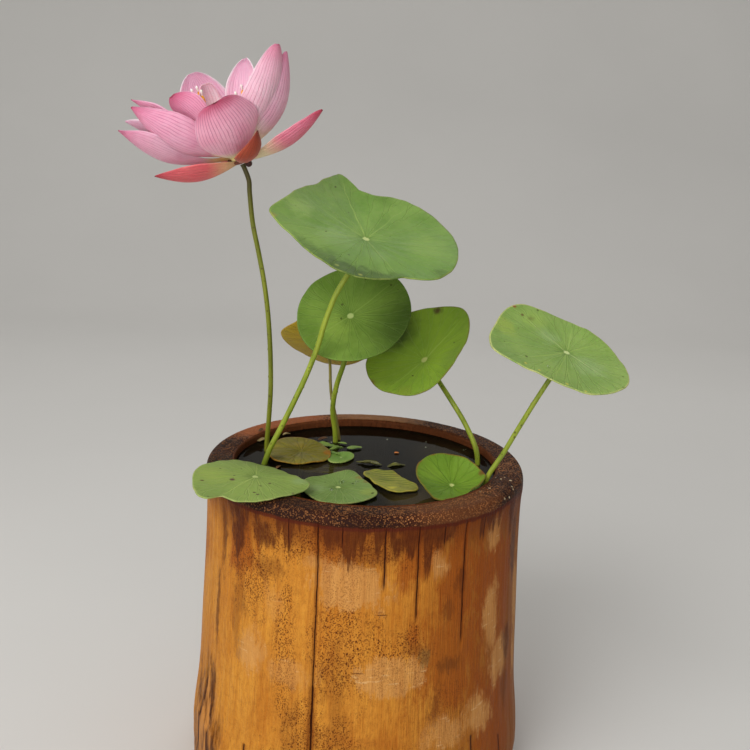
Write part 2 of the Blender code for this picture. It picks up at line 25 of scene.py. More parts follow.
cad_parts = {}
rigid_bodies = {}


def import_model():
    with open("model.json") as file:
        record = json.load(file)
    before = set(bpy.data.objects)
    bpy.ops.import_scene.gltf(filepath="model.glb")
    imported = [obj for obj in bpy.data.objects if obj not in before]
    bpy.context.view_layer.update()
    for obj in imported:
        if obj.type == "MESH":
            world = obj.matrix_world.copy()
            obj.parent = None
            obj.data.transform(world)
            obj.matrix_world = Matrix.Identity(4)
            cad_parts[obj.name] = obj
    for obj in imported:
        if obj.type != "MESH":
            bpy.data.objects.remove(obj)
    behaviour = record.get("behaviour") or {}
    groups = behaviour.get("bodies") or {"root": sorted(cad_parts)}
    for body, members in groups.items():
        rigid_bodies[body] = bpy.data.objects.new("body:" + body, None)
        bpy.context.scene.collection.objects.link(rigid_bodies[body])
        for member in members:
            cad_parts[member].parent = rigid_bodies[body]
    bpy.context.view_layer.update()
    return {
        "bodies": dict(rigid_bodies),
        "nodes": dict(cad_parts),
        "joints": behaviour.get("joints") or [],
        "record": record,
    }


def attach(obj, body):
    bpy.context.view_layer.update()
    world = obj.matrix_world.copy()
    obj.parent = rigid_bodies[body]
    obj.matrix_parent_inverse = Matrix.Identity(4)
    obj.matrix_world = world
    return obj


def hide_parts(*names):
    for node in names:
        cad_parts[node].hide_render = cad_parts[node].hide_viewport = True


MM = 0.001
BODY = "root"
LOG = logging.getLogger("bowl_lotus")
NUMBERS = ("LENGTH", "DOT_PRODUCT")    # vector operations that give one number

Array = np.ndarray
Piece = bpy.types.Object
Material = bpy.types.Material
Colour = tuple[int, int, int]


def tint(*screen: int) -> tuple:
    """Turns a screen colour into the linear one that a shader takes, with an alpha of 1.

    Args:
        screen: red, green and blue from 0 to 255.

    Returns:
        The linear colour.
    """
    shares = [value / 255.0 for value in screen]
    return (*(share / 12.92 if share <= 0.04045 else ((share + 0.055) / 1.055) ** 2.4
              for share in shares), 1.0)


def arithmetic(operation: str, turned: bool = False) -> Callable:
    """Makes an operator that adds a Math node, its two sides turned round if asked.

    Args:
        operation: what the node does.
        turned: whether this value is the node's second one.

    Returns:
        The operator.
    """
    def apply(self: Wire, other: Feed = 0.0) -> Wire:
        """Adds the node."""
        first, second = (other, self) if turned else (self, other)
        return self.sketch.add("Math", 0, {0: first, 1: second}, operation=operation)
    return apply


class Wire:
    """A value in a shader tree, which takes plain sums and can be painted over."""

    __add__ = __radd__ = arithmetic("ADD")
    __mul__ = __rmul__ = arithmetic("MULTIPLY")
    __sub__ = arithmetic("SUBTRACT")
    __rsub__ = arithmetic("SUBTRACT", turned=True)
    __truediv__ = arithmetic("DIVIDE")
    __abs__ = arithmetic("ABSOLUTE")
    greater = arithmetic("MAXIMUM")         # the greater of this value and the other
    below = arithmetic("LESS_THAN")         # 1 where this value is below the other, else 0
    floor = arithmetic("FLOOR")
    fraction = arithmetic("FRACT")
    root = arithmetic("SQRT")
    angle = arithmetic("ARCTAN2")           # of the direction whose Y is this value, X the other

    def __init__(self, sketch: Sketch, socket: bpy.types.NodeSocket) -> None:
        """Keeps the sketch and the socket that gives the value."""
        self.sketch = sketch
        self.socket = socket

    def vector(self, operation: str, other: Feed = (0.0, 0.0, 0.0)) -> Wire:
        """Adds a Vector Math node and returns its vector, or its number for a length."""
        return self.sketch.add("VectorMath", "Value" if operation in NUMBERS else "Vector",
                               {0: self, 1: other}, operation=operation)

    def ease(self, low: Feed, high: Feed, start: float = 0.0, end: float = 1.0) -> Wire:
        """Rises smoothly from start to end while this value goes from low to high.

        Args:
            low: where the rise starts.
            high: where it ends.
            start: the result up to low.
            end: the result from high on.

        Returns:
            The result.
        """
        return self.sketch.add("MapRange", 0, {
            "Value": self, "From Min": low, "From Max": high, "To Min": start, "To Max": end},
            interpolation_type="SMOOTHSTEP")

    def parts(self) -> tuple[Wire, ...]:
        """Its X, Y and Z."""
        split = self.sketch.add("SeparateXYZ", 0, {0: self}).socket.node
        return tuple(Wire(self.sketch, socket) for socket in split.outputs)

    def painted(self, over: Feed, mask: Feed, kind: str = "MIX") -> Wire:
        """This colour with another one over it, as far as the mask says."""
        return self.sketch.mix(mask, self, over, kind)


Feed = float | tuple | Wire


class Sketch:
    """Adds nodes to a shader tree and joins them."""

    def __init__(self, tree: bpy.types.NodeTree) -> None:
        """Keeps the tree that is drawn in."""
        self.tree = tree

    def add(self, kind: str, output: int | str, feeds: dict, **settings: object) -> Wire:
        """Adds one node.

        Args:
            kind: the node's type without its "ShaderNode" prefix.
            output: the output that is wanted, by name or number.
            feeds: a value or a wire for each of its inputs, by name or number.
            settings: its own properties.

        Returns:
            That output.
        """
        made = self.tree.nodes.new("ShaderNode" + kind)
        for name, value in settings.items():
            setattr(made, name, value)
        for name, feed in feeds.items():
            self.feed(made.inputs[name], feed)
        return Wire(self, made.outputs[output])

    def feed(self, socket: bpy.types.NodeSocket, feed: Feed) -> None:
        """Joins a socket to a wire, or sets its own value.

        Args:
            socket: an input.
            feed: what goes into it.
        """
        if isinstance(feed, Wire):
            self.tree.links.new(feed.socket, socket)
        elif socket.type == "RGBA" and len(feed) == 3:
            socket.default_value = tint(*feed)
        else:
            socket.default_value = feed

    def mix(self, mask: Feed, under: Feed, over: Feed, kind: str = "MIX") -> Wire:
        """Mixes two colours."""
        return self.add("Mix", 2, {0: mask, 6: under, 7: over}, data_type="RGBA",
                        blend_type=kind)

    def place(self, stretch: Feed | None = None, kind: str = "Object") -> Wire:
        """The coordinates of a kind on the piece's surface, multiplied by a stretch."""
        found = self.add("TexCoord", kind, {})
        return found if stretch is None else found.vector("MULTIPLY", stretch)

    def noise(self, scale: Feed, detail: float = 3.0, rough: float = 0.55,
              stretch: Feed | None = None, kind: str = "Object") -> Wire:
        """A noise texture's value."""
        return self.add("TexNoise", "Fac", {"Vector": self.place(stretch, kind), "Scale": scale,
                                            "Detail": detail, "Roughness": rough})


class Coat(Sketch):
    """A material and the sketch of its tree."""

    def __init__(self, name: str, settings: dict[str, float | tuple]) -> None:
        """Starts the material, with values for its shader's own sockets.

        Args:
            name: the material's name.
            settings: its shader's values by socket.
        """
        self.made = bpy.data.materials.new(name)
        self.made.use_nodes = True
        super().__init__(self.made.node_tree)
        self.inputs = self.tree.nodes["Principled BSDF"].inputs
        for label, value in settings.items():
            self.inputs[label].default_value = value

    def finished(self, colour: Wire, height: Wire | None = None, depth: float = 0.0,
                 roughness: Wire | None = None) -> Material:
        """Joins what was drawn to the shader.

        Args:
            colour: the surface's colour.
            height: its fine relief, if any.
            depth: metres from the lowest to the highest place of that relief.
            roughness: how rough it is, where that changes over the surface.

        Returns:
            The material.
        """
        self.feed(self.inputs["Base Color"], colour)
        if height is not None:
            self.feed(self.inputs["Normal"], self.add(
                "Bump", "Normal", {"Height": height, "Distance": depth, "Strength": 1.0}))
        if roughness is not None:
            self.feed(self.inputs["Roughness"], roughness)
        return self.made


def effect(**inputs: float | tuple) -> Callable:
    """Keeps a drawing as a shared node group with these inputs and one mask.

    Args:
        inputs: the name and the usual value of each input.

    Returns:
        The decorator.
    """
    def keep(draw: Callable[[Sketch, dict[str, Wire]], Wire]) -> Callable[..., Wire]:
        """Names the group after the drawing.

        Args:
            draw: adds the group's nodes and gives its mask.

        Returns:
            What places the group in a sketch.
        """
        @functools.wraps(draw)
        def use(sketch: Sketch, **feeds: Feed) -> Wire:
            """Places the group, which the first call draws.

            Args:
                sketch: where it goes.
                feeds: values for its inputs.

            Returns:
                Its mask.
            """
            tree = bpy.data.node_groups.get(draw.__name__)
            if not tree:
                tree = bpy.data.node_groups.new(draw.__name__, "ShaderNodeTree")
                for label, value in inputs.items():
                    kind = "Vector" if isinstance(value, tuple) else "Float"
                    tree.interface.new_socket(
                        name=label, in_out="INPUT",
                        socket_type="NodeSocket" + kind).default_value = value
                tree.interface.new_socket(name="Mask", in_out="OUTPUT",
                                          socket_type="NodeSocketFloat")
                inner = Sketch(tree)
                entry = tree.nodes.new("NodeGroupInput").outputs
                mask = draw(inner, {label: Wire(inner, entry[label]) for label in inputs})
                inner.feed(tree.nodes.new("NodeGroupOutput").inputs["Mask"], mask)
            return sketch.add("Group", "Mask", feeds, node_tree=tree)
        return use
    return keep


@effect(Scale=100.0, Stretch=(1.0, 1.0, 1.0), Middle=0.5, Spread=0.15)
def mottle(sketch: Sketch, given: dict[str, Wire]) -> Wire:
    """Soft blotches of two tones; Stretch below 1 along an axis draws them out along it."""
    value = sketch.noise(given["Scale"], 4.0, stretch=given["Stretch"])
    return value.ease(given["Middle"] - given["Spread"], given["Middle"] + given["Spread"])


@effect(Scale=900.0, Size=0.3, Share=0.5, Stretch=(1.0, 1.0, 1.0))
def speckle(sketch: Sketch, given: dict[str, Wire]) -> Wire:
    """Small round dots; Share is how many of the places hold one.

    Args:
        sketch: the group's own tree.
        given: its inputs.

    Returns:
        The mask.
    """
    cells = sketch.add("TexVoronoi", "Color", {"Vector": sketch.place(given["Stretch"]),
                                               "Scale": given["Scale"]})
    away = Wire(sketch, cells.socket.node.outputs["Distance"])
    lot, large, _ = cells.parts()
    size = given["Size"] * (large + 0.35)
    return away.ease(size, size * 1.5, 1.0, 0.0) * lot.below(given["Share"])


@effect(Centre=(0.0, 0.0, 0.0), Size=(0.01, 0.01, 0.01), Softness=0.4, Ragged=0.6, Noise=0.5)
def patch(sketch: Sketch, given: dict[str, Wire]) -> Wire:
    """One patch round a place; Size holds its half lengths, and Noise frays its border.

    Args:
        sketch: the group's own tree.
        given: its inputs.

    Returns:
        The mask.
    """
    apart = sketch.place().vector("SUBTRACT", given["Centre"]).vector("DIVIDE", given["Size"])
    away = apart.vector("LENGTH") + (given["Noise"] - 0.5) * given["Ragged"]
    return away.ease(1.0 - given["Softness"], 1.0, 1.0, 0.0)


@effect(Direction=0.0, Width=0.02, Reach=1.0)
def main_vein(sketch: Sketch, given: dict[str, Wire]) -> Wire:
    """One main vein from a leaf's hub; Direction counts in turns of its UV map.

    Args:
        sketch: the group's own tree.
        given: its inputs.

    Returns:
        The mask.
    """
    across, along, _ = sketch.place(kind="UV").parts()
    turn = across + (sketch.noise(70.0, 1.0) - 0.5) * 0.02 - given["Direction"] + 0.5
    arc = abs(turn.fraction() - 0.5) * along * math.tau
    wide = given["Width"] * (1.3 - along)
    fade = along.ease(given["Reach"] - 0.25, given["Reach"], 1.0, 0.0)
    return arc.ease(wide * 0.2, wide, 1.0, 0.0) * fade


@effect(Centre=(0.0, 0.0, 0.0), Along=(100.0, 0.0, 0.0), Aside=(0.0, 100.0, 0.0), Count=3.0)
def lens_ribs(sketch: Sketch, given: dict[str, Wire]) -> Wire:
    """Ribs along a leaf that meet at both its ends; Along and Aside are its half axes.

    Args:
        sketch: the group's own tree.
        given: its inputs.

    Returns:
        The mask.
    """
    apart = sketch.place().vector("SUBTRACT", given["Centre"])
    along = apart.vector("DOT_PRODUCT", given["Along"])
    room = (1.0 - along * along).greater(0.05).root()
    lane = apart.vector("DOT_PRODUCT", given["Aside"]) / room * given["Count"]
    lane = lane + sketch.noise(160.0, 2.0) * 0.8
    return abs(lane.fraction() - 0.5).ease(0.05, 0.3, 1.0, 0.0)


@effect(Scale=70.0, Reach=0.03, Fray=0.03, Top=0.16)
def rim_stain(sketch: Sketch, given: dict[str, Wire]) -> Wire:
    """Stain that hangs from the culm's rim in ragged runs; Reach is its longest run.

    Args:
        sketch: the group's own tree.
        given: its inputs.

    Returns:
        The mask.
    """
    columns = sketch.noise(given["Scale"], 3.0, 0.7, (1.0, 1.0, 0.0)).ease(0.4, 0.72)
    threads = sketch.noise(420.0, 4.0, 0.7, (1.0, 1.0, 0.1)) - 0.5
    low = given["Top"] - (columns * given["Reach"] + threads * given["Fray"])
    return sketch.place().parts()[2].ease(low, low + 0.005)


@effect(Count=21.0, Fork=0.38, Width=0.01)
def radial_veins(sketch: Sketch, given: dict[str, Wire]) -> Wire:
    """Veins that leave a leaf's hub and fork twice on their way to its edge.

    Args:
        sketch: the group's own tree.
        given: its inputs.

    Returns:
        The mask.
    """
    across, along, _ = sketch.place(kind="UV").parts()
    turn = across * given["Count"] + (sketch.noise(90.0, 2.0) - 0.5) * 0.55
    late = sketch.add("TexWhiteNoise", "Value", {"W": turn.floor()},
                      noise_dimensions="1D") * 0.16
    side = abs(turn.fraction() - 0.5)
    for start, spread in ((0.0, 0.52), (0.3, 0.5)):
        apart = (along - (given["Fork"] + start + late)) * spread
        side = abs(side - apart.greater(0.0))
    arc = side * along * math.tau / given["Count"]
    line = arc.ease(given["Width"] * 0.3, given["Width"], 1.0, 0.0)
    return line * along.ease(0.03, 0.1)


@effect(Count=15.0, Width=0.2)
def petal_lines(sketch: Sketch, given: dict[str, Wire]) -> Wire:
    """Fine lines along a petal, which draw together at its tip.

    Args:
        sketch: the group's own tree.
        given: its inputs.

    Returns:
        The mask.
    """
    turn = sketch.place(kind="UV").parts()[0] * given["Count"]
    turn = turn + (sketch.noise(110.0, 1.0) - 0.5) * 0.8
    line = abs(turn.fraction() - 0.5).ease(0.02, given["Width"], 1.0, 0.0)
    return line * sketch.noise(260.0, 2.0).ease(0.3, 0.6, 0.6, 1.0)


@effect(Direction=0.0, Top=0.16, Bottom=0.1, Width=0.006)
def drip_line(sketch: Sketch, given: dict[str, Wire]) -> Wire:
    """One dark line down the culm, from Top to Bottom, Direction turned from the front.

    Args:
        sketch: the group's own tree.
        given: its inputs.

    Returns:
        The mask.
    """
    x, y, z = sketch.place().parts()
    turn = x.angle(y * -1.0) + (sketch.noise(55.0, stretch=(0.0, 0.0, 1.0)) - 0.5) * 0.02
    away = abs(turn - given["Direction"])
    line = away.ease(given["Width"] * 0.4, given["Width"], 1.0, 0.0)
    low = z.ease(given["Bottom"], given["Bottom"] + 0.006)
    return line * low * z.ease(given["Top"], given["Top"] + 0.001, 1.0, 0.0)


class LeafSide(Enum):
    """The two faces of a leaf."""

    TOP = "top"
    UNDER = "under"


@dataclass(frozen=True)
class LeafPatch:
    """A part of a leaf with another colour."""

    direction: float            # degrees from the right by way of the back
    share: float                # of the way from the hub to the edge
    size: float                 # half its width
    colour: Colour
    strength: float = 0.7
    ragged: float = 1.2


@dataclass(frozen=True)
class MainVein:
    """A vein that stands out from the others."""

    direction: float            # degrees from the right by way of the back
    strength: float
    width: float = 0.45
    reach: float = 0.98
    colour: Colour = (168, 190, 112)


@dataclass(frozen=True)
class LeafFinish:
    """The colours of one leaf, which age, shade and water have made its own."""

    light: Colour = (126, 156, 88)
    dark: Colour = (102, 134, 66)
    bloom: Colour = (140, 166, 112)
    vein: Colour = (150, 178, 104)
    hub: Colour = (180, 194, 140)
    edge: Colour = (170, 176, 112)
    under: Colour = (134, 158, 92)
    shade: Colour = (66, 96, 38)
    vein_strength: float = 0.14
    hub_size: float = 1.1
    halo: float = 0.4
    edge_strength: float = 0.5
    speck: Colour = (64, 70, 30)
    speck_share: float = 0.015
    roughness: float = 0.55
    count: float = 21.0
    ribs: float = 0.0           # lengthwise ribs on each side, instead of veins from the hub
    patches: tuple = ()         # the values of each LeafPatch
    veins: tuple = ()           # the values of each MainVein

    def material(self, name: str, side: LeafSide, form: LeafForm) -> Material:
        """Makes the material of one face of one leaf.

        Args:
            name: the leaf's name.
            side: which face of the leaf.
            form: the leaf's shape, which gives its size and the place of each patch.

        Returns:
            The material.
        """
        coat = Coat(f"{name}_{side.value}", {
            "Roughness": self.roughness, "Specular IOR Level": 0.14, "Subsurface Weight": 0.05,
            "Subsurface Radius": (0.3, 1.0, 0.1), "Subsurface Scale": 0.002})
        share = coat.place(kind="UV").parts()[1]
        veins = self.draw_veins(coat, form)
        broad = mottle(coat, Scale=48.0, Spread=0.2)
        fine = mottle(coat, Scale=480.0, Spread=0.3)
        roughness = None
        if side is LeafSide.UNDER:
            colour = coat.mix(broad * 0.5, self.under, self.dark).painted(self.vein, veins * 0.6)
            height, depth = veins + fine * 0.2, 0.0005
        else:
            middle = mottle(coat, Scale=150.0, Spread=0.25)
            colour = coat.mix(broad, self.dark, self.light).painted(self.dark, middle * 0.2)
            colour = self.draw_marks(coat, colour.painted(self.bloom, fine * 0.25), veins, form)
            colour = self.draw_hub(coat, colour, share, form)
            height, depth = middle * 0.4 - veins * 0.5 + fine * 0.22, 0.0003
            roughness = broad * 0.12 + (self.roughness - 0.06)
        line = share.ease(1.0 - 0.75 / form.size, 1.0 - 0.3 / form.size, 0.0,
                          self.edge_strength)
        colour = colour.painted(self.edge, line * mottle(coat, Scale=160.0, Middle=0.45,
                                                         Spread=0.2))
        colour = colour.painted((1.0, 1.0, 0.76, 1.0), 1.0, "MULTIPLY")
        return coat.finished(colour, height, depth, roughness)

    def draw_marks(self, coat: Coat, colour: Wire, veins: Wire, form: LeafForm) -> Wire:
        """Draws the patches, the veins and the specks on a leaf's upper face.

        Args:
            coat: the leaf's material.
            colour: its colour so far.
            veins: the net of veins.
            form: the leaf's shape.

        Returns:
            The colour with them.
        """
        frayed = coat.noise(200.0, 4.0)
        for each in (LeafPatch(*row) for row in self.patches):
            mask = patch(coat, Centre=tuple(form.at(each.direction, each.share) * MM),
                         Size=(each.size * MM,) * 3, Ragged=each.ragged, Noise=frayed,
                         Softness=0.75)
            colour = colour.painted(each.colour, mask * each.strength)
        colour = colour.painted(self.vein, veins * self.vein_strength)
        for each in (MainVein(*row) for row in self.veins):
            mask = main_vein(coat, Direction=1.0 - each.direction / 360.0,
                             Width=each.width / form.size, Reach=each.reach)
            colour = colour.painted(each.colour, mask * each.strength)
        specks = speckle(coat, Scale=520.0, Size=0.24, Share=self.speck_share)
        return colour.painted(self.speck, specks * 0.8)

    def draw_veins(self, coat: Coat, form: LeafForm) -> Wire:
        """Draws the net of veins: from the hub, or lengthwise where the leaf has ribs.

        Args:
            coat: the leaf's material.
            form: the leaf's shape.

        Returns:
            The veins' mask.
        """
        if not self.ribs:
            return radial_veins(coat, Count=self.count, Width=0.3 / form.size)
        per_metre = 1.0 / (form.size * MM)
        return lens_ribs(coat, Centre=tuple(form.hub * MM), Count=self.ribs,
                         Along=tuple(form.right * per_metre * 0.75),
                         Aside=tuple(form.back * per_metre * 1.15))

    def draw_hub(self, coat: Coat, colour: Wire, share: Wire, form: LeafForm) -> Wire:
        """Draws the pale disc over the stalk and the dark short rays round it.

        Args:
            coat: the leaf's material.
            colour: its colour so far.
            share: the way from hub to edge.
            form: the leaf's shape.

        Returns:
            The colour with them.
        """
        if not self.hub_size:
            return colour
        rays = coat.noise(26.0, 1.0, stretch=(1.0, 0.02, 0.0), kind="UV")
        reach = rays.ease(0.35, 0.7) * (5.0 / form.size) + (self.hub_size + 1.0) / form.size
        colour = colour.painted(self.shade, share.ease(reach * 0.3, reach, self.halo, 0.0))
        disc = share.ease((self.hub_size - 0.35) / form.size, (self.hub_size + 0.35) / form.size,
                          1.0, 0.0)
        return colour.painted(self.hub, disc)


@dataclass(frozen=True)
class PetalFinish:
    """The colours of a petal or sepal."""

    light: Colour = (236, 168, 190)
    deep: Colour = (222, 122, 156)
    line: Colour = (190, 66, 116)
    tip: Colour = (150, 24, 58)
    flush: Colour = (200, 62, 108)      # towards the tip
    foot: Colour = (252, 226, 186)
    margin: Colour = (236, 182, 202)
    line_strength: float = 0.6
    flush_strength: float = 0.25
    margin_strength: float = 0.3
    lines: float = 16.0
    tip_from: float = 0.97
    foot_to: float = 0.16

    def material(self, name: str) -> Material:
        """Makes the material, which runs along the petal by its own UV map.

        Args:
            name: the petal's name.

        Returns:
            The material.
        """
        coat = Coat(name, {
            "Roughness": 0.5, "Specular IOR Level": 0.25, "Sheen Weight": 0.1,
            "Sheen Roughness": 0.35, "Subsurface Weight": 0.55,
            "Subsurface Radius": (1.0, 0.6, 0.7), "Subsurface Scale": 0.003})
        across, along, _ = coat.place(kind="UV").parts()
        broad = mottle(coat, Scale=80.0, Spread=0.2)
        fine = mottle(coat, Scale=900.0, Spread=0.3)
        threads = petal_lines(coat, Count=self.lines * 2.7, Width=0.3)
        lines = petal_lines(coat, Count=self.lines, Width=0.17)
        height = along + coat.noise(120.0) * 0.1 - 0.05
        colour = coat.mix((broad * 0.6).greater(along.ease(0.2, 1.1)), self.light, self.deep)
        for over, mask in (
                (self.margin, fine * 0.18), (self.line, threads * 0.22),
                (self.line, lines * along.ease(0.05, 0.6, 0.25, 1.0) * self.line_strength),
                (self.margin, abs(across - 0.5).ease(0.43, 0.495, 0.0, self.margin_strength)),
                (self.foot, height.ease(self.foot_to * 0.2, self.foot_to, 1.0, 0.0)),
                (self.flush, height.ease(0.72, 1.0, 0.0, self.flush_strength)),
                (self.tip, height.ease(self.tip_from - 0.02, self.tip_from + 0.025))):
            colour = colour.painted(over, mask)
        return coat.finished(colour, fine * 0.3 - lines - threads * 0.4, 0.0002)


@dataclass(frozen=True)
class PlainFinish:
    """A finish of two tones with fine specks, for stalks, scraps and the bloom's middle."""

    light: Colour
    dark: Colour
    speck: Colour
    speck_share: float = 0.2
    scale: float = 120.0
    stretch: tuple[float, float, float] = (1.0, 1.0, 1.0)
    roughness: float = 0.5
    relief: float = 0.0002
    subsurface: float = 0.0
    high: Colour | None = None              # another colour above a height
    high_from: float = 0.285
    high_to: float = 0.312

    def material(self, name: str) -> Material:
        """Makes the material.

        Args:
            name: the piece's name.

        Returns:
            The material.
        """
        coat = Coat(name, {"Roughness": self.roughness, "Specular IOR Level": 0.3,
                           "Subsurface Weight": self.subsurface, "Subsurface Scale": 0.002})
        broad = mottle(coat, Scale=self.scale, Stretch=self.stretch, Spread=0.2)
        colour = coat.mix(broad, self.dark, self.light)
        if self.high:
            height = coat.place().parts()[2]
            colour = colour.painted(self.high, height.ease(self.high_from, self.high_to))
        specks = speckle(coat, Scale=700.0, Size=0.25, Share=self.speck_share)
        fine = coat.noise(600.0, stretch=self.stretch)
        return coat.finished(colour.painted(self.speck, specks * 0.8), fine + broad - specks,
                             self.relief)


def select_only(*pieces: Piece) -> None:
    """Makes the pieces the ones that operators act on, the first of them above all.

    Args:
        pieces: the pieces, or none.
    """
    bpy.ops.object.select_all(action="DESELECT")
    for piece in pieces:
        piece.select_set(True)
    if pieces:
        bpy.context.view_layer.objects.active = pieces[0]


def weld(distance: float, outwards: bool = False) -> None:
    """Merges the active piece's points that lie closer than a distance in metres.

    Args:
        distance: in metres.
        outwards: whether its faces are turned outwards.
    """
    bpy.ops.object.mode_set(mode="EDIT")
    bpy.ops.mesh.select_all(action="SELECT")
    bpy.ops.mesh.remove_doubles(threshold=distance)
    if outwards:
        bpy.ops.mesh.normals_make_consistent(inside=False)
    bpy.ops.object.mode_set(mode="OBJECT")


def rename(piece: Piece, name: str) -> Piece:
    """Names a piece and its mesh.

    Args:
        piece: the piece.
        name: its name.

    Returns:
        The piece.
    """
    piece.name = name
    piece.data.name = name
    return piece


def add_sheet(name: str, columns: int, rows: int,
              shape: Callable[[Array, Array], Array]) -> Piece:
    """Adds a grid and bends it into a surface, whose UV map keeps its columns and rows.

    Args:
        name: the piece's name.
        columns: squares across.
        rows: squares along.
        shape: gives the places in millimetres for shares across and along.

    Returns:
        The piece, with the points that came together merged.
    """
    select_only()
    bpy.ops.mesh.primitive_grid_add(x_subdivisions=columns, y_subdivisions=rows, size=1.0)
    piece = rename(bpy.context.active_object, name)
    flat = np.empty(len(piece.data.vertices) * 3, np.float32)
    piece.data.vertices.foreach_get("co", flat)
    flat = flat.reshape(-1, 3)
    places = shape(np.clip(flat[:, 0] + 0.5, 0, 1), np.clip(flat[:, 1] + 0.5, 0, 1)) * MM
    piece.data.vertices.foreach_set("co", places.astype(np.float32).ravel())
    piece.data.update()
    weld(2e-6)
    bpy.ops.object.shade_smooth()
    return piece


def thicken(piece: Piece, thickness: float, outwards: bool = False) -> None:
    """Gives a sheet its thickness in millimetres, its far side with the second material.

    Args:
        piece: the sheet.
        thickness: in millimetres.
        outwards: whether it grows along its normals.
    """
    select_only(piece)
    solid = piece.modifiers.new("thickness", "SOLIDIFY")
    solid.thickness = thickness * MM
    solid.offset = 1.0 if outwards else -1.0
    solid.use_even_offset = False
    solid.material_offset = 1 if len(piece.data.materials) > 1 else 0
    bpy.ops.object.modifier_apply(modifier=solid.name)


def add_tube(name: str, route: Array, radii: Array, resolution: int = 4
             ) -> Piece:
    """Adds a curve with a radius at each point and turns it into a closed tube.

    Args:
        name: the piece's name.
        route: its points in millimetres.
        radii: its radius in millimetres at each point.
        resolution: of its round section.

    Returns:
        The piece as a mesh.
    """
    select_only()
    bpy.ops.curve.primitive_nurbs_path_add()
    piece = bpy.context.active_object
    curve = piece.data
    curve.splines.clear()
    line = curve.splines.new("POLY")
    line.points.add(len(route) - 1)
    for point, place, radius in zip(line.points, route, radii):
        point.co = (*(place * MM), 1.0)
        point.radius = radius
    curve.bevel_depth = MM
    curve.bevel_resolution = resolution
    curve.use_fill_caps = True
    bpy.ops.object.convert(target="MESH")
    weld(1e-6, outwards=True)
    bpy.ops.object.shade_smooth_by_angle(angle=math.radians(50))
    return rename(piece, name)


def add_ball(centre: Vector | tuple | Array, radius: float, segments: int = 24,
             rings: int = 14, up: Array | tuple = (0.0, 0.0, 1.0), flat: float = 1.0,
             ico: bool = False) -> Piece:
    """Adds a ball.

    Args:
        centre: its middle in millimetres.
        radius: its radius in millimetres.
        segments: faces round it.
        rings: faces from pole to pole.
        up: the direction along which it is flattened.
        flat: its height along that direction, as a share of its width.
        ico: whether it is made of triangles.

    Returns:
        The ball.
    """
    select_only()
    if ico:
        bpy.ops.mesh.primitive_ico_sphere_add(subdivisions=3, radius=radius * MM)
    else:
        bpy.ops.mesh.primitive_uv_sphere_add(segments=segments, ring_count=rings,
                                             radius=radius * MM)
    piece = bpy.context.active_object
    lean = Vector(up).to_track_quat("Z", "Y").to_matrix().to_4x4()
    lean.translation = Vector(centre) * MM
    piece.data.transform(lean @ Matrix.Diagonal((1.0, 1.0, flat, 1.0)))
    bpy.ops.object.shade_smooth()
    return piece


def join(name: str, pieces: list[Piece]) -> Piece:
    """Joins like pieces into one and names it.

    Args:
        name: the new piece's name.
        pieces: what it is made of.

    Returns:
        The new piece.
    """
    select_only(*pieces)
    if len(pieces) > 1:
        bpy.ops.object.join()
    return rename(bpy.context.active_object, name)


def settle(piece: Piece, slot: str, *nodes: str,
           finish: PetalFinish | PlainFinish | None = None) -> None:
    """Rests a finished piece on the plant's body.

    Args:
        piece: the piece.
        slot: its material's slot, which is not used.
        nodes: the nodes that it stands for.
        finish: its one finish, unless it has its materials.
    """
    if finish:
        piece.data.materials.clear()
        piece.data.materials.append(finish.material(piece.name))
    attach(piece, BODY)
    if nodes:
        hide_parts(*nodes)
    LOG.info("%s: %d faces", piece.name, len(piece.data.polygons))


def smooth_line(points: Array, position: Array, closed: bool = False) -> Array:
    """Reads a smooth curve through points, at positions counted in steps between them.

    Args:
        points: the points, one in each row.
        position: where to read.
        closed: whether the last point leads to the first.

    Returns:
        A row for each position.
    """
    count = len(points)
    first = np.floor(position).astype(int)
    share = (position - first)[:, None]
    steps = [first + step for step in (-1, 0, 1, 2)]
    if closed:
        a, b, c, d = (points[step % count] for step in steps)
    else:
        a, b, c, d = (points[np.clip(step, 0, count - 1)] for step in steps)
    return 0.5 * (2 * b + (c - a) * share + (2 * a - 5 * b + 4 * c - d) * share ** 2
                  + (3 * b - a - 3 * c + d) * share ** 3)


def ripple(places: Array, period: float, seed: float = 0.0) -> Array:
    """Smooth noise from about -1 to 1 at places in millimetres, period millimetres long."""
    shift = Vector((seed * 17.3, seed * 5.1, seed * 9.7))
    return np.array([noise.noise(Vector(place) / period + shift) for place in places])


def node_points(node: Piece) -> tuple[Array, list[set[int]]]:
    """A node's points in millimetres and each one's neighbours, with its loose faces joined.

    Args:
        node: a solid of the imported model.

    Returns:
        The points, and the numbers of each one's neighbours.
    """
    shaper = bmesh.new()
    shaper.from_mesh(node.data)
    bmesh.ops.remove_doubles(shaper, verts=shaper.verts, dist=1e-6)
    shaper.verts.index_update()
    points = np.array([vertex.co for vertex in shaper.verts]) / MM
    near = [{edge.other_vert(vertex).index for edge in vertex.link_edges}
            for vertex in shaper.verts]
    shaper.free()
    return points, near


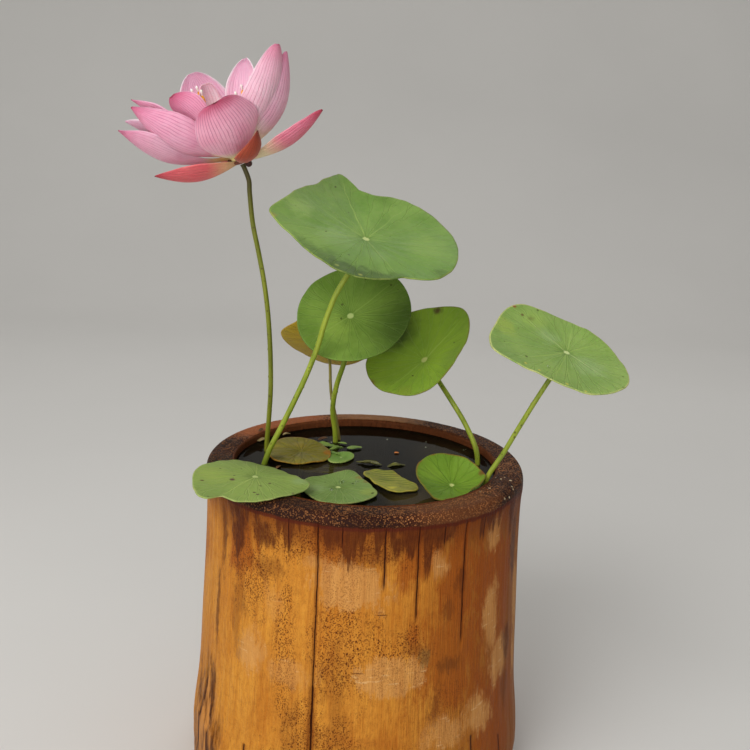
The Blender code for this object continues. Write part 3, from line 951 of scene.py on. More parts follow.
class LeafForm:
    """The shape of a leaf, read from its node: its hub, its lean and its edge."""

    def __init__(self, node: Piece) -> None:
        """Finds the hub, where most edges meet, and walks out from it ring by ring.

        Args:
            node: the leaf's node.
        """
        points, near = node_points(node)
        hubs = sorted(range(len(points)), key=lambda index: len(near[index]))[-2:]
        top, bottom = sorted(hubs, key=lambda index: -points[index][2])
        spokes = len(near[top])
        rings = (len(points) // 2 - 1) // spokes
        seen, ring = {top}, {top}
        for _ in range(rings):
            ring = {other for index in ring for other in near[index]} - seen
            seen |= ring
        self.hub = points[top]
        self.up = points[top] - points[bottom]
        self.up /= np.linalg.norm(self.up)
        self.right = np.cross((0.0, 1.0, 0.0), self.up)
        self.right /= np.linalg.norm(self.right)
        self.back = np.cross(self.up, self.right)
        edge = points[sorted(ring)] - self.hub
        turns = np.arctan2(edge @ self.back, edge @ self.right) % math.tau
        self.edge = edge[np.argsort(turns)]
        self.first = float(np.sort(turns)[0])
        flat = self.edge - np.outer(self.edge @ self.up, self.up)
        self.size = float(np.linalg.norm(flat, axis=1).mean())

    def spots(self, turn: Array, share: Array) -> Array:
        """Places on the blade for directions in turns and shares of the way to its edge.

        Args:
            turn: the directions.
            share: the shares.

        Returns:
            A place in millimetres for each.
        """
        step = (turn - self.first / math.tau) * len(self.edge)
        edge = smooth_line(self.edge, step, closed=True)
        lift = (edge @ self.up)[:, None] * self.up
        share = share[:, None]
        return self.hub + (edge - lift) * share + lift * share ** 2

    def at(self, direction: float, share: float) -> Vector:
        """One place on the blade, its direction in degrees."""
        return Vector(self.spots(np.array([direction / 360.0]), np.array([share]))[0])


@dataclass
class LotusLeaf:
    """A leaf's blade, with pleats along its veins, ripples in its margin and a thin edge."""

    name: str
    finish: LeafFinish
    trim: tuple = ()            # reach of the margin by direction, as a share of the solid's
    slot: str = "leaf"
    columns: int = 144
    rows: int = 40
    pleats: int = 21
    pleat: float = 0.08         # depth of the pleats
    ripple: float = 0.4         # height of the ripples in the margin
    dimple: float = 0.6         # depth of the dip over the stalk
    dimple_radius: float = 4.0
    crumple: float = 0.0        # height of the creases all over
    periods: tuple = (6.0, 17.0, 4.5)   # of the margin's ripples, the broad waves and the creases
    thickness: float = 0.55
    pool: float = 0.0           # radius of the water that the leaf stays within, if any
    round_trim: bool = True     # whether the margin is smoothed between the given directions

    def reach(self, turn: Array) -> Array:
        """How far the margin reaches at directions in turns.

        Args:
            turn: the directions.

        Returns:
            The reach, as a share of the solid's.
        """
        if not self.trim:
            return np.ones_like(turn)
        ways, shares = zip(*self.trim)
        degrees = (turn * 360.0)[:, None]
        if self.round_trim:
            degrees = degrees + np.array((-4.0, 0.0, 4.0))
        return np.interp(degrees % 360.0, ways, shares, period=360.0).mean(axis=1)

    def build(self, frame: dict) -> LeafForm:
        """Models the blade over its node and dresses both its faces.

        Args:
            frame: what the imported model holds.

        Returns:
            The leaf's shape, for what lies on it.
        """
        form = LeafForm(frame["nodes"][self.name])
        fine, wavy, creased = self.periods

        def shape(across: Array, along: Array) -> Array:
            """Shapes the blade's upper face.

            Args:
                across: shares across the grid.
                along: shares along it.

            Returns:
                Their places in millimetres.
            """
            share = along ** 0.9
            turn = 1.0 - across
            places = form.spots(turn, share)
            stretch = 1.0 + (self.reach(turn % 1.0) - 1.0) * share ** 2
            places = form.hub + (places - form.hub) * stretch[:, None]
            if self.pool:
                wide = np.maximum(np.hypot(places[:, 0], places[:, 1]), 1.0)
                places[:, :2] *= np.minimum(1.0, self.pool / wide)[:, None]
            depth = -self.pleat * np.cos(across * math.tau * self.pleats) * np.sin(
                math.pi * share ** 0.8)
            margin = share ** 5 * ripple(places, fine) * self.ripple
            broad = share ** 2 * ripple(places, wavy, 2.0) * self.ripple
            creases = self.crumple * ripple(places, creased, 3.0) * np.minimum(1.0, share * 3.0)
            dip = -self.dimple * np.exp(-(share * form.size / self.dimple_radius) ** 2)
            height = np.where(share > 0, depth + margin + broad + creases, 0.0) + dip
            return places + np.outer(height, form.up)

        piece = add_sheet(self.name + "_blade", self.columns, self.rows, shape)
        for side in LeafSide:
            piece.data.materials.append(self.finish.material(self.name, side, form))
        thicken(piece, self.thickness)
        settle(piece, self.slot, self.name)
        return form


@dataclass
class Stalk:
    """A stalk with small prickles, along the middle of its node."""

    node: str
    material: Material
    foot_swell: float = 0.12    # how much fatter it is at its foot, as a share
    spacing: float = 0.7        # between two rings of its skin
    prickle: float = 0.22       # height of a prickle
    prickle_share: float = 0.012

    def route(self, frame: dict) -> Array:
        """The middle of the node's tube, from the groups of points that ring it.

        Args:
            frame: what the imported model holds.

        Returns:
            Points from the foot to the top, in millimetres.
        """
        points, _ = node_points(frame["nodes"][self.node])
        left = list(np.argsort(points[:, 2]))
        middles = []
        while left:
            lowest = points[left[0]]
            ring = [index for index in left if np.linalg.norm(points[index] - lowest) < 3.2]
            middles.append(points[ring].mean(axis=0))
            left = [index for index in left if index not in ring]
        return np.array(middles)

    def radius(self, frame: dict) -> float:
        """The radius of the node's tube at its foot.

        Args:
            frame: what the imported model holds.

        Returns:
            The radius in millimetres.
        """
        points, _ = node_points(frame["nodes"][self.node])
        low = points[np.argsort(points[:, 2])[:8]]
        return float(np.linalg.norm(low - low.mean(axis=0), axis=1).mean())

    def build(self, frame: dict) -> None:
        """Models the stalk and raises its prickles.

        Args:
            frame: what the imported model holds.
        """
        middles, wide = self.route(frame), self.radius(frame)
        length = float(np.linalg.norm(np.diff(middles, axis=0), axis=1).sum())
        steps = int(length / self.spacing)
        position = np.linspace(0.0, len(middles) - 1.0, steps)
        route = smooth_line(middles, position)
        share = np.linspace(0.0, 1.0, steps)
        radii = wide * (1.0 + self.foot_swell * (0.5 - share))
        radii *= 1.0 + 0.18 * np.exp(-((1.0 - share) * length / 2.0) ** 2)
        piece = add_tube(self.node + "_skin", route, radii, resolution=4)
        draw = random.Random(self.node)
        for vertex in piece.data.vertices:
            if draw.random() < self.prickle_share:
                vertex.co += vertex.normal * self.prickle * MM
        piece.data.materials.append(self.material)
        settle(piece, "stalk", self.node)


@dataclass(frozen=True)
class Crack:
    """A drying crack or a dark drip line down the culm."""

    direction: float            # degrees from the right by way of the back
    top: float
    bottom: float
    half_width: float           # of the dark line
    depth: float = 0.0          # of the groove, none for a drip


class Skin(Enum):
    """The kinds of patch in the culm's skin, each with its colour."""

    TEA = (140, 68, 16)         # brewed brown, seeped from above
    PALE = (202, 150, 92)       # where the skin has gone
    BLOTCH = (104, 56, 20)
    MOSS = (96, 92, 58)
    STAIN = (74, 32, 12)        # nearly black runs
    PEPPER = (88, 40, 12)       # where fine specks crowd


@dataclass(frozen=True)
class SkinPatch:
    """One patch in the culm's skin, centred at a direction and a height."""

    direction: float            # degrees from the right by way of the back
    height: float
    wide: float                 # half its width
    tall: float                 # half its height
    strength: float = 0.8
    ragged: float = 3.2
    softness: float = 0.6


SKIN_PATCHES = {                # the values of each SkinPatch
    Skin.TEA: (
        (262, 148, 20, 16, 0.65), (289, 145, 18, 20, 0.75), (304, 132, 20, 38, 0.8),
        (322, 120, 26, 52, 0.85), (226, 140, 16, 22, 0.7), (302, 92, 28, 46, 0.65),
        (325, 56, 28, 46, 0.75), (275, 50, 24, 12, 0.35), (60, 142, 60, 22, 0.7),
        (130, 140, 60, 24, 0.7), (185, 130, 26, 30, 0.6), (15, 90, 26, 50, 0.6)),
    Skin.PALE: (
        (266, 131, 20, 14, 0.7, 2.6, 0.3), (255, 141, 8, 6, 0.6), (248, 84, 15, 9, 0.5),
        (281, 88, 18, 11, 0.7, 2.6, 0.3), (233, 90, 11, 13, 0.7), (300, 54, 15, 13, 0.65),
        (314, 57, 14, 12, 0.75), (344, 98, 8, 44, 0.75), (320, 148, 8, 11, 0.75),
        (321, 104, 8, 24, 0.75), (327, 78, 13, 15, 0.75), (296, 139, 6, 9, 0.65),
        (240, 118, 6, 12, 0.3), (55, 90, 22, 26, 0.6), (140, 62, 18, 22, 0.6),
        (98, 112, 12, 14, 0.6), (178, 118, 8, 14, 0.5)),
    Skin.BLOTCH: (
        (302, 89, 9, 6, 0.7, 3.2), (332, 59, 7, 16, 0.6, 3.7), (249, 40, 9, 40, 0.35, 3.7),
        (263, 70, 9, 46, 0.3, 3.7), (296, 70, 5, 14, 0.5, 3.7), (226, 110, 6, 30, 0.4, 3.7),
        (238, 134, 12, 8, 0.45, 3.7), (272, 146, 16, 7, 0.5, 3.7), (256, 56, 8, 12, 0.35, 3.7),
        (300, 116, 4, 8, 0.5, 3.4), (289, 100, 9, 4, 0.35, 3.4), (120, 74, 9, 9, 0.6),
        (20, 60, 8, 14, 0.6), (75, 42, 10, 12, 0.6)),
    Skin.MOSS: (
        (292, 96, 4, 6, 0.45, 4.4), (250, 36, 2, 3, 0.5)),
    Skin.STAIN: (
        (224, 147, 8, 14, 1.0, 3.7), (236, 149, 8, 9, 0.95, 3.7), (246, 153, 4, 9, 0.9, 3.4),
        (262, 156, 9, 5, 0.9, 3.4), (281, 151, 5, 10, 0.95, 3.4), (297, 155, 8, 8, 0.9, 3.7),
        (305, 131, 4, 9, 0.6, 4.1), (337, 136, 6, 26, 0.9, 3.7), (333, 84, 6, 13, 0.8, 4.1),
        (213, 96, 2.5, 26, 0.75, 3.7), (212, 55, 4, 26, 0.7, 3.7), (216, 140, 5, 20, 0.8, 3.7),
        (277.5, 118, 3.5, 0.4, 0.8, 1.7), (271, 89.5, 3.5, 0.35, 0.7), (95, 152, 14, 12, 0.9, 3.7),
        (150, 152, 8, 14, 0.9, 3.7), (25, 150, 12, 14, 0.9, 3.7), (70, 148, 5, 18, 0.8, 3.7),
        (178, 148, 6, 14, 0.8, 3.7), (358, 120, 5, 30, 0.7, 3.7)),
    Skin.PEPPER: (
        (264, 106, 20, 46, 1.0), (246, 92, 8, 56, 1.0), (258, 44, 30, 44, 1.0),
        (284, 96, 20, 20, 1.0), (232, 128, 20, 26, 1.0), (262, 150, 66, 16, 1.0),
        (300, 60, 24, 30, 0.5), (110, 90, 40, 50, 0.6), (40, 110, 40, 40, 0.6),
        (100, 150, 90, 12, 0.9)),
}


@dataclass
class BambooPot:
    """The culm: a dry skin with cracks and stains, a porous sawn rim and a root scar."""

    outside: tuple = (
        (0.0, 80.0), (0.0, 84.2), (2.5, 86.4), (10.0, 87.2), (17.0, 87.8), (30.0, 86.9),
        (53.0, 84.3), (90.0, 82.5), (125.0, 80.9), (148.0, 80.5), (157.0, 81.0),
        (161.6, 80.8), (164.2, 79.2), (165.0, 76.6),
    )
    inside: tuple = (
        (165.0, 73.0), (165.0, 69.4), (164.3, 67.6), (162.5, 67.0), (130.0, 67.0),
        (90.0, 67.0), (50.0, 67.0), (22.0, 67.0), (20.0, 62.0), (20.0, 1.0),
    )
    columns: int = 560
    top: float = 165.0
    mean_radius: float = 82.0   # turns angles into lengths on the skin
    degree: float = 1.43        # length of one degree on the skin
    lip: float = 163.0          # height from which the wood's cut pores show
    rim_radius: float = 74.0    # of the rim's middle
    scar_direction: float = 207.0
    scar_half_width: float = 24.0
    scar_top: float = 75.0
    scar_swell: float = 2.2
    ridge: float = 17.0         # height of the node's ridge
    widest: float = 87.55
    cracks: tuple = tuple(Crack(*row) for row in (
        (256.0, 162.0, -5.0, 0.38, 0.9), (256.0, 80.0, -5.0, 0.6, 0.9), (246.0, 159.0, 140.0, 0.3),
        (264.0, 159.0, 148.0, 0.32), (277.5, 159.0, 128.0, 0.4, 0.4),
        (288.5, 159.0, 112.0, 0.4, 0.5), (297.5, 158.0, 146.0, 0.35),
        (306.0, 158.0, 97.0, 0.36, 0.4), (314.5, 158.0, 145.0, 0.35), (332.0, 158.0, 138.0, 0.35),
        (311.5, 47.0, 2.0, 0.4), (327.0, 37.0, 2.0, 0.4), (232.0, 40.0, 2.0, 0.45),
        (20.0, 160.0, 70.0, 0.45, 0.5), (74.0, 160.0, 20.0, 0.45, 0.7), (121.0, 158.0, 118.0, 0.4),
        (163.0, 159.0, 90.0, 0.4, 0.4)))
    rim_patches: tuple = (      # direction, half its length, colour, strength
        (135, 42, (168, 96, 60), 0.85), (86, 34, (160, 114, 80), 0.85),
        (238, 26, (38, 20, 17), 0.85), (197, 26, (22, 15, 11), 0.9),
        (30, 40, (56, 28, 18), 0.7), (305, 34, (128, 76, 46), 0.5),
    )
    pith: Colour = (186, 124, 80)       # of the cut fibres' ends in the rim

    def build(self) -> None:
        """Models the culm as one turned skin, outside and inside."""
        profile = np.array(self.outside + self.inside)
        lengths = np.r_[0.0, np.cumsum(np.linalg.norm(np.diff(profile, axis=0), axis=1))]
        rows = self.row_places(profile, lengths)

        def shape(across: Array, along: Array) -> Array:
            """Turns the culm's skin.

            Args:
                across: shares across the grid.
                along: shares along it.

            Returns:
                Their places in millimetres.
            """
            here = np.interp(along, np.linspace(0, 1, len(rows)), rows)
            step = np.interp(here, lengths, np.arange(len(profile)))
            turned = smooth_line(profile, step)
            turned[:, 0] = np.clip(turned[:, 0], 0.0, self.top)
            height, radius = turned[:, 0], turned[:, 1]
            outer = here < lengths[len(self.outside) - 1]
            angle = across * math.tau
            round_place = np.stack([np.cos(angle) * self.mean_radius,
                                    np.sin(angle) * self.mean_radius, height], axis=1)
            radius = radius + np.where(outer, self.relief(round_place, angle, height), 0.0)
            radius = np.where(along <= 0.0, 0.0, radius)
            radius = np.where(along >= 1.0, 0.0, radius)
            lip = (height > self.lip) & (radius > 66.0)
            closer = (radius / self.mean_radius)[:, None]
            pores = np.where(lip, ripple(round_place * closer, 1.3, 5.0), 0.0)
            height = np.where(lip, height - 0.28 * np.abs(pores), height)
            return np.stack([np.cos(angle) * radius, np.sin(angle) * radius, height], axis=1)

        piece = add_sheet("culm_body", self.columns, len(rows) - 1, shape)
        piece.data.materials.append(self.material())
        settle(piece, "culm", "bamboo_culm")

    def row_places(self, profile: Array, lengths: Array) -> Array:
        """Places of the rows along the profile, close at the rim and at the node's ridge.

        Args:
            profile: the height and radius of each point.
            lengths: the way along the profile to each point.

        Returns:
            The way along the profile to each row.
        """
        step = np.where(profile[:, 0] > 156.0, 0.8, 1.6)
        step = np.where((profile[:, 1] < 80.0) & (profile[:, 0] < 150.0), 9.0, step)
        places, here = [0.0], 1.5
        while here < lengths[-1] - 1.0:
            places.append(here)
            here += float(np.interp(here, lengths, step))
        return np.array(places + [lengths[-1]])

    def relief(self, places: Array, angle: Array, height: Array) -> Array:
        """How far the outside stands out from its plain turned form.

        Args:
            places: points on the plain form.
            angle: their directions.
            height: their heights.

        Returns:
            Millimetres outwards.
        """
        turn = np.degrees(angle)
        fibres = ripple(places * np.array((1.0, 1.0, 0.03)), 1.6) * 0.1
        waves = ripple(places * np.array((1.0, 1.0, 0.25)), 22.0, 1.0) * 0.35
        ridge = 0.5 * np.exp(-((height - self.ridge) / 1.6) ** 2)
        ridge -= 0.45 * np.exp(-((height - self.ridge + 5.0) / 1.3) ** 2)
        apart = np.abs((turn - self.scar_direction + 180.0) % 360.0 - 180.0)
        scar = np.where(apart < self.scar_half_width,
                        0.5 + 0.5 * np.cos(math.pi * apart / self.scar_half_width), 0.0)
        low = np.clip(1.0 - height / self.scar_top, 0.0, 1.0)
        rough = np.abs(ripple(places * np.array((1.0, 1.0, 0.12)), 2.6, 7.0))
        rough += 0.6 * np.abs(ripple(places * np.array((1.0, 1.0, 0.5)), 1.7, 8.0))
        swell = scar * low * (self.scar_swell + 0.3) - np.sqrt(scar * low) * rough * 1.7
        grooves = np.zeros_like(height)
        for crack in self.cracks:
            away = np.abs((turn - crack.direction + 180.0) % 360.0 - 180.0) * self.degree
            inside = (height < crack.top) & (height > crack.bottom)
            grooves -= np.where(inside, crack.depth * np.exp(-(away / 0.6) ** 2), 0.0)
        fade = np.clip((164.0 - height) / 6.0, 0.0, 1.0) * np.clip(height / 2.0, 0.0, 1.0)
        return np.minimum((fibres + waves + ridge + grooves) * fade + swell, self.reach(height))

    def reach(self, height: Array) -> Array:
        """How far the relief may stand out, so that the culm stays within its solid.

        Args:
            height: the heights.

        Returns:
            Millimetres outwards.
        """
        plain = np.interp(height, [row[0] for row in self.outside[1:]],
                          [row[1] for row in self.outside[1:]])
        return self.widest - plain

    def place(self, direction: float, height: float) -> tuple[float, float, float]:
        """A place on the outside in metres.

        Args:
            direction: in degrees.
            height: in millimetres.

        Returns:
            The place.
        """
        turn = math.radians(direction)
        wide = float(np.interp(height, [row[0] for row in self.outside[1:]],
                               [row[1] for row in self.outside[1:]]))
        return wide * math.cos(turn) * MM, wide * math.sin(turn) * MM, height * MM

    def skin_mask(self, coat: Coat, kind: Skin, frayed: Wire) -> Wire:
        """The greatest of a kind's patches at each place.

        Args:
            coat: the culm's material.
            kind: the kind of patch.
            frayed: the noise that frays borders.

        Returns:
            The mask.
        """
        return functools.reduce(Wire.greater, [
            patch(coat, Centre=self.place(each.direction, each.height),
                  Size=(each.wide * MM, each.wide * MM, each.tall * MM),
                  Ragged=each.ragged, Noise=frayed, Softness=each.softness) * each.strength
            for each in (SkinPatch(*row) for row in SKIN_PATCHES[kind])])

    def crack_lines(self, coat: Coat, wider: float) -> Wire:
        """The lines of all cracks, made wider for what has soaked in beside them.

        Args:
            coat: the culm's material.
            wider: how many times wider.

        Returns:
            The mask.
        """
        lines = []
        for crack in self.cracks:
            front = math.radians((crack.direction - 270.0 + 180.0) % 360.0 - 180.0)
            lines.append(drip_line(coat, Direction=front, Top=crack.top * MM,
                                   Bottom=crack.bottom * MM,
                                   Width=crack.half_width * wider / self.mean_radius))
        return functools.reduce(Wire.greater, lines)

    def material(self) -> Material:
        """The culm's material: skin, stains, specks, drips, rim, wet inside, and a right side
        darkened by stain and painted shade.

        Returns:
            The material.
        """
        coat = Coat("culm", {"Roughness": 0.5, "Specular IOR Level": 0.08})
        x, _, z = coat.place().parts()
        broad = mottle(coat, Scale=55.0, Stretch=(1.0, 1.0, 0.4), Spread=0.22)
        streak = mottle(coat, Scale=260.0, Stretch=(1.0, 1.0, 0.035), Spread=0.2)
        fine = mottle(coat, Scale=1300.0, Stretch=(1.0, 1.0, 0.05), Spread=0.3)
        grain = mottle(coat, Scale=520.0, Stretch=(1.0, 1.0, 0.5), Spread=0.25)
        thread = mottle(coat, Scale=520.0, Stretch=(1.0, 1.0, 0.03), Middle=0.62, Spread=0.06)
        scratch = mottle(coat, Scale=420.0, Stretch=(0.3, 0.3, 1.6), Middle=0.64, Spread=0.05)
        frayed = coat.noise(130.0, 8.0, 0.78, (1.0, 1.0, 0.4))
        masks = {kind: self.skin_mask(coat, kind, frayed) for kind in Skin}
        scratched = coat.mix(streak, Skin.PALE.value, (180, 128, 76))
        scratched = scratched.painted((232, 204, 162), scratch * 0.45)
        dark = (rim_stain(coat) * 0.9).greater(masks[Skin.STAIN])
        crowd = masks[Skin.PEPPER].greater(grain * 0.3) * (1.0 - masks[Skin.PALE] * 0.75)
        big = speckle(coat, Scale=1000.0, Size=0.3, Share=0.24, Stretch=(1.0, 1.0, 0.8))
        small = speckle(coat, Scale=1800.0, Size=0.42, Share=0.75, Stretch=(1.0, 1.0, 0.8))
        lines, soaked = self.crack_lines(coat, 1.0), self.crack_lines(coat, 4.0)
        colour = coat.mix(broad, (182, 114, 36), (204, 142, 56))
        for over, mask in (
                ((160, 88, 26), streak * 0.32), ((216, 160, 74), fine * 0.3),
                ((122, 60, 18), thread * 0.25), ((146, 80, 24), grain * 0.3),
                # darker towards the right: partly stain, partly painted shade on the side away
                # from the light
                ((112, 54, 16), x.ease(0.01, 0.08, 0.0, 0.72)),
                (Skin.TEA.value, masks[Skin.TEA]), (scratched, masks[Skin.PALE]),
                (Skin.BLOTCH.value, masks[Skin.BLOTCH]), (Skin.MOSS.value, masks[Skin.MOSS]),
                ((104, 46, 12), (z + frayed * 0.03).ease(0.154, 0.176, 0.0, 0.85)),
                (Skin.STAIN.value, dark * grain.ease(0.0, 0.9, 1.0, 0.72)),
                (Skin.PEPPER.value, big.greater(small * 0.8) * crowd)):
            colour = colour.painted(over, mask)
        colour = self.draw_scar(coat, colour, frayed)
        colour = colour.painted((104, 46, 12), soaked * 0.5).painted((48, 16, 8), lines)
        colour, grit = self.draw_rim(coat, colour, z)
        colour = colour.painted((1.0, 0.96, 0.8, 1.0), 1.0, "MULTIPLY")
        height = streak * 0.5 + fine - lines * 2.0 + grit * 3.5
        return coat.finished(colour, height, 0.00025, streak * 0.16 + 0.42)

    def draw_scar(self, coat: Coat, colour: Wire, frayed: Wire) -> Wire:
        """Draws the torn fibres where the root stub was, pale and nearly black.

        Args:
            coat: the culm's material.
            colour: its colour so far.
            frayed: the noise that frays borders.

        Returns:
            The colour with them.
        """
        mask = patch(coat, Centre=self.place(self.scar_direction, 0.0), Noise=frayed,
                     Size=(0.026, 0.026, 0.085), Ragged=1.2, Softness=0.5)
        fibres = mottle(coat, Scale=330.0, Stretch=(1.0, 1.0, 0.12), Spread=0.12)
        return colour.painted(coat.mix(fibres, (62, 26, 12), (188, 128, 68)), mask)

    def draw_rim(self, coat: Coat, colour: Wire, z: Wire) -> tuple[Wire, Wire]:
        """Draws the dark porous rim and the wet wood inside it.

        Args:
            coat: the culm's material.
            colour: the skin's colour.
            z: the height on the surface in metres.

        Returns:
            The colour with the rim, and the rim's grit for its relief.
        """
        edge = z + coat.noise(120.0) * 0.0024
        colour = colour.painted((76, 28, 16), edge.ease(0.1588, 0.1598) * 0.85)
        rim = edge.ease(0.1606, 0.1616)
        grain = speckle(coat, Scale=1500.0, Size=0.42, Share=0.72)
        tone = mottle(coat, Scale=75.0, Spread=0.2)
        strength = mottle(coat, Scale=34.0, Spread=0.16, Middle=0.45).ease(0.0, 1.0, 0.25, 1.0)
        strength = strength * z.ease(0.1610, 0.1640, 0.55, 0.95)
        wood = coat.mix(tone, (30, 14, 11), (58, 28, 19)).painted(self.pith, grain * strength)
        frayed = coat.noise(140.0, 5.0)
        for direction, size, shade, share in self.rim_patches:
            turn, wide = math.radians(direction), self.rim_radius * MM
            mask = patch(coat, Centre=(wide * math.cos(turn), wide * math.sin(turn), 0.164),
                         Size=(size * MM, size * MM, 0.02), Ragged=1.0, Noise=frayed,
                         Softness=0.6)
            wood = wood.painted(coat.mix(grain * 0.3, shade, self.pith), mask * share)
        flecks = speckle(coat, Scale=420.0, Size=0.2, Share=0.16)
        flecks = flecks * patch(coat, Centre=(0.066, -0.03, 0.164), Size=(0.02, 0.02, 0.02),
                                Noise=frayed)
        wood = wood.painted((226, 206, 180), flecks)
        inner = coat.place((1.0, 1.0, 0.0)).vector("LENGTH").ease(0.0672, 0.0684, 1.0, 0.0)
        wall = coat.mix(z.ease(0.1598, 0.1606), (26, 18, 12), (104, 58, 34))
        return colour.painted(wood, rim).painted(wall, inner), grain * rim


@dataclass
class Pond:
    """The water in the culm, with its skin drawn up a little along the wall, and the mud."""

    top: float = 160.0
    bottom: float = 115.35
    radius: float = 66.65
    climb: float = 0.9          # how far the skin climbs the wall
    climb_width: float = 1.1    # how far from the wall it starts to
    columns: int = 180

    def build(self, frame: dict) -> None:
        """Models the water as one closed turned piece and dresses the mud.

        Args:
            frame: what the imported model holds.
        """
        profile = np.array([(self.top, 0.0)] + [
            (self.top + self.climb * math.exp((wide - self.radius) / self.climb_width), wide)
            for wide in np.linspace(2.0, self.radius, 60)]
            + [(self.bottom, self.radius), (self.bottom, 0.0)])

        def shape(across: Array, along: Array) -> Array:
            """Turns the water's skin.

            Args:
                across: shares across the grid.
                along: shares along it.

            Returns:
                Their places in millimetres.
            """
            turned = smooth_line(profile, along * (len(profile) - 1))
            still = np.where(along < 0.9, 1.0, 0.0)
            angle = -across * math.tau
            wide = np.clip(turned[:, 1], 0.0, self.radius)
            places = np.stack([np.cos(angle) * wide, np.sin(angle) * wide, turned[:, 0]], axis=1)
            places[:, 2] += ripple(places, 30.0) * 0.05 * still
            return places

        water = add_sheet("water_body", self.columns, len(profile) - 1, shape)
        water.data.materials.append(self.material())
        settle(water, "water", "pond_water")
        mud = PlainFinish((62, 48, 34), (30, 24, 18), (92, 76, 54), 0.4, 90.0,
                          roughness=0.85, relief=0.0015)
        root = PlainFinish((206, 190, 150), (170, 140, 96), (110, 80, 50), 0.2,
                           80.0, roughness=0.6, relief=0.0004)
        for node, finish in (("pond_mud", mud), ("rhizome", root)):
            frame["nodes"][node].data.materials[0] = finish.material(node)

    def material(self) -> Material:
        """The water's material: dark, silty in places, with a little dust.

        Returns:
            The material.
        """
        coat = Coat("water", {"Roughness": 0.03, "IOR": 1.33, "Specular IOR Level": 0.16,
                              "Alpha": 0.72})
        colour = coat.mix(mottle(coat, Scale=40.0, Spread=0.25), (11, 10, 5), (26, 22, 11))
        frayed = coat.noise(60.0, 4.0)
        for x, y, size, strength in ((26.0, -42.0, 26.0, 0.8), (-20.0, -8.0, 22.0, 0.5),
                                     (40.0, 28.0, 20.0, 0.3)):
            mask = patch(coat, Centre=(x * MM, y * MM, self.top * MM), Noise=frayed,
                         Size=(size * MM, size * MM, 1.0), Ragged=1.2, Softness=0.8)
            colour = colour.painted((74, 62, 34), mask * strength)
        dust = speckle(coat, Scale=420.0, Size=0.12, Share=0.12)
        return coat.finished(colour, roughness=dust * 0.4 + 0.03)


class BloomPart(Enum):
    """The kinds of leaf-like parts in the bloom, each with the slot and node it stands for."""

    PETAL = ("petal", "petals")
    SEPAL = ("sepal", "sepals")
    PETALOID = ("stamen", "stamens")


@dataclass(frozen=True)
class Petal:
    """A petal or sepal, from the bloom's base to its tip."""

    name: str
    tip: tuple[float, float, float]     # from the bloom's base, right, back and up
    width: float
    belly: float                        # how far its middle sags outwards
    cup: float                          # half the angle that it wraps round its length
    level: float = 1.5
    roll: float = 0.0
    hook: float = 0.0
    fullness: float = 0.75              # less is fuller in the lower half
    crown: float = 0.75                 # less is fuller towards the tip
    skew: float = 1.25                  # more puts the widest place nearer the tip
    sway: float = 0.0
    wave: float = 0.4                   # height of the waves in its margins
    finish: PetalFinish = PetalFinish()
    part: BloomPart = BloomPart.PETAL


FRONT_PETAL = PetalFinish(
    light=(254, 192, 210), deep=(244, 150, 178), line=(172, 48, 100), flush=(176, 32, 82),
    line_strength=0.6, flush_strength=0.7, margin_strength=0.15, lines=22.0, tip=(92, 20, 30),
    tip_from=0.98,
)
TALL_PETAL = PetalFinish(
    light=(254, 204, 218), deep=(244, 164, 186), line=(196, 84, 126), margin=(244, 200, 212),
    line_strength=0.45, margin_strength=0.55, foot_to=0.34, flush_strength=0.45,
)
BEHIND_PETAL = PetalFinish(
    light=(252, 198, 214), deep=(242, 150, 180), line_strength=0.7, foot_to=0.3,
)
BACK_PETAL = PetalFinish(
    light=(246, 194, 212), deep=(238, 166, 192), line=(206, 104, 150), tip=(236, 170, 190),
    margin=(250, 222, 230), line_strength=0.3, flush_strength=0.0, margin_strength=0.75,
)
LEFT_PETAL = PetalFinish(
    light=(247, 176, 198), deep=(236, 138, 170), flush_strength=0.6,
)
LOW_PETAL = PetalFinish(
    light=(248, 188, 206), deep=(234, 142, 172), line_strength=0.5, foot=(236, 190, 120),
    foot_to=0.26, flush_strength=0.5,
)
CORAL_SEPAL = PetalFinish(
    light=(222, 112, 112), deep=(200, 68, 84), line=(160, 40, 52), tip=(70, 26, 26),
    flush=(166, 42, 58), foot=(238, 178, 134), margin=(222, 120, 116), line_strength=0.35,
    lines=11.0, foot_to=0.34, flush_strength=0.6,
)
PINK_SEPAL = PetalFinish(
    light=(230, 138, 160), deep=(202, 76, 112), line=(160, 44, 66), tip=(110, 30, 40),
    flush=(172, 40, 62), foot=(248, 224, 180), margin=(240, 168, 170), line_strength=0.35,
    lines=11.0, foot_to=0.45, flush_strength=0.7,
)
BROWN_SEPAL = PetalFinish(
    light=(166, 74, 48), deep=(142, 56, 38), line=(116, 38, 28), tip=(70, 22, 20),
    flush=(120, 36, 34), foot=(170, 96, 56), margin=(186, 104, 74), line_strength=0.35, lines=11.0,
    foot_to=0.3, flush_strength=0.6,
)
CREAM_PETALOID = PetalFinish(
    light=(255, 232, 238), deep=(255, 212, 226), line=(226, 130, 150), tip=(240, 176, 186),
    flush=(246, 178, 200), foot=(255, 226, 210), margin=(236, 156, 176), line_strength=0.35,
    lines=8.0, foot_to=0.3, margin_strength=0.6,
)


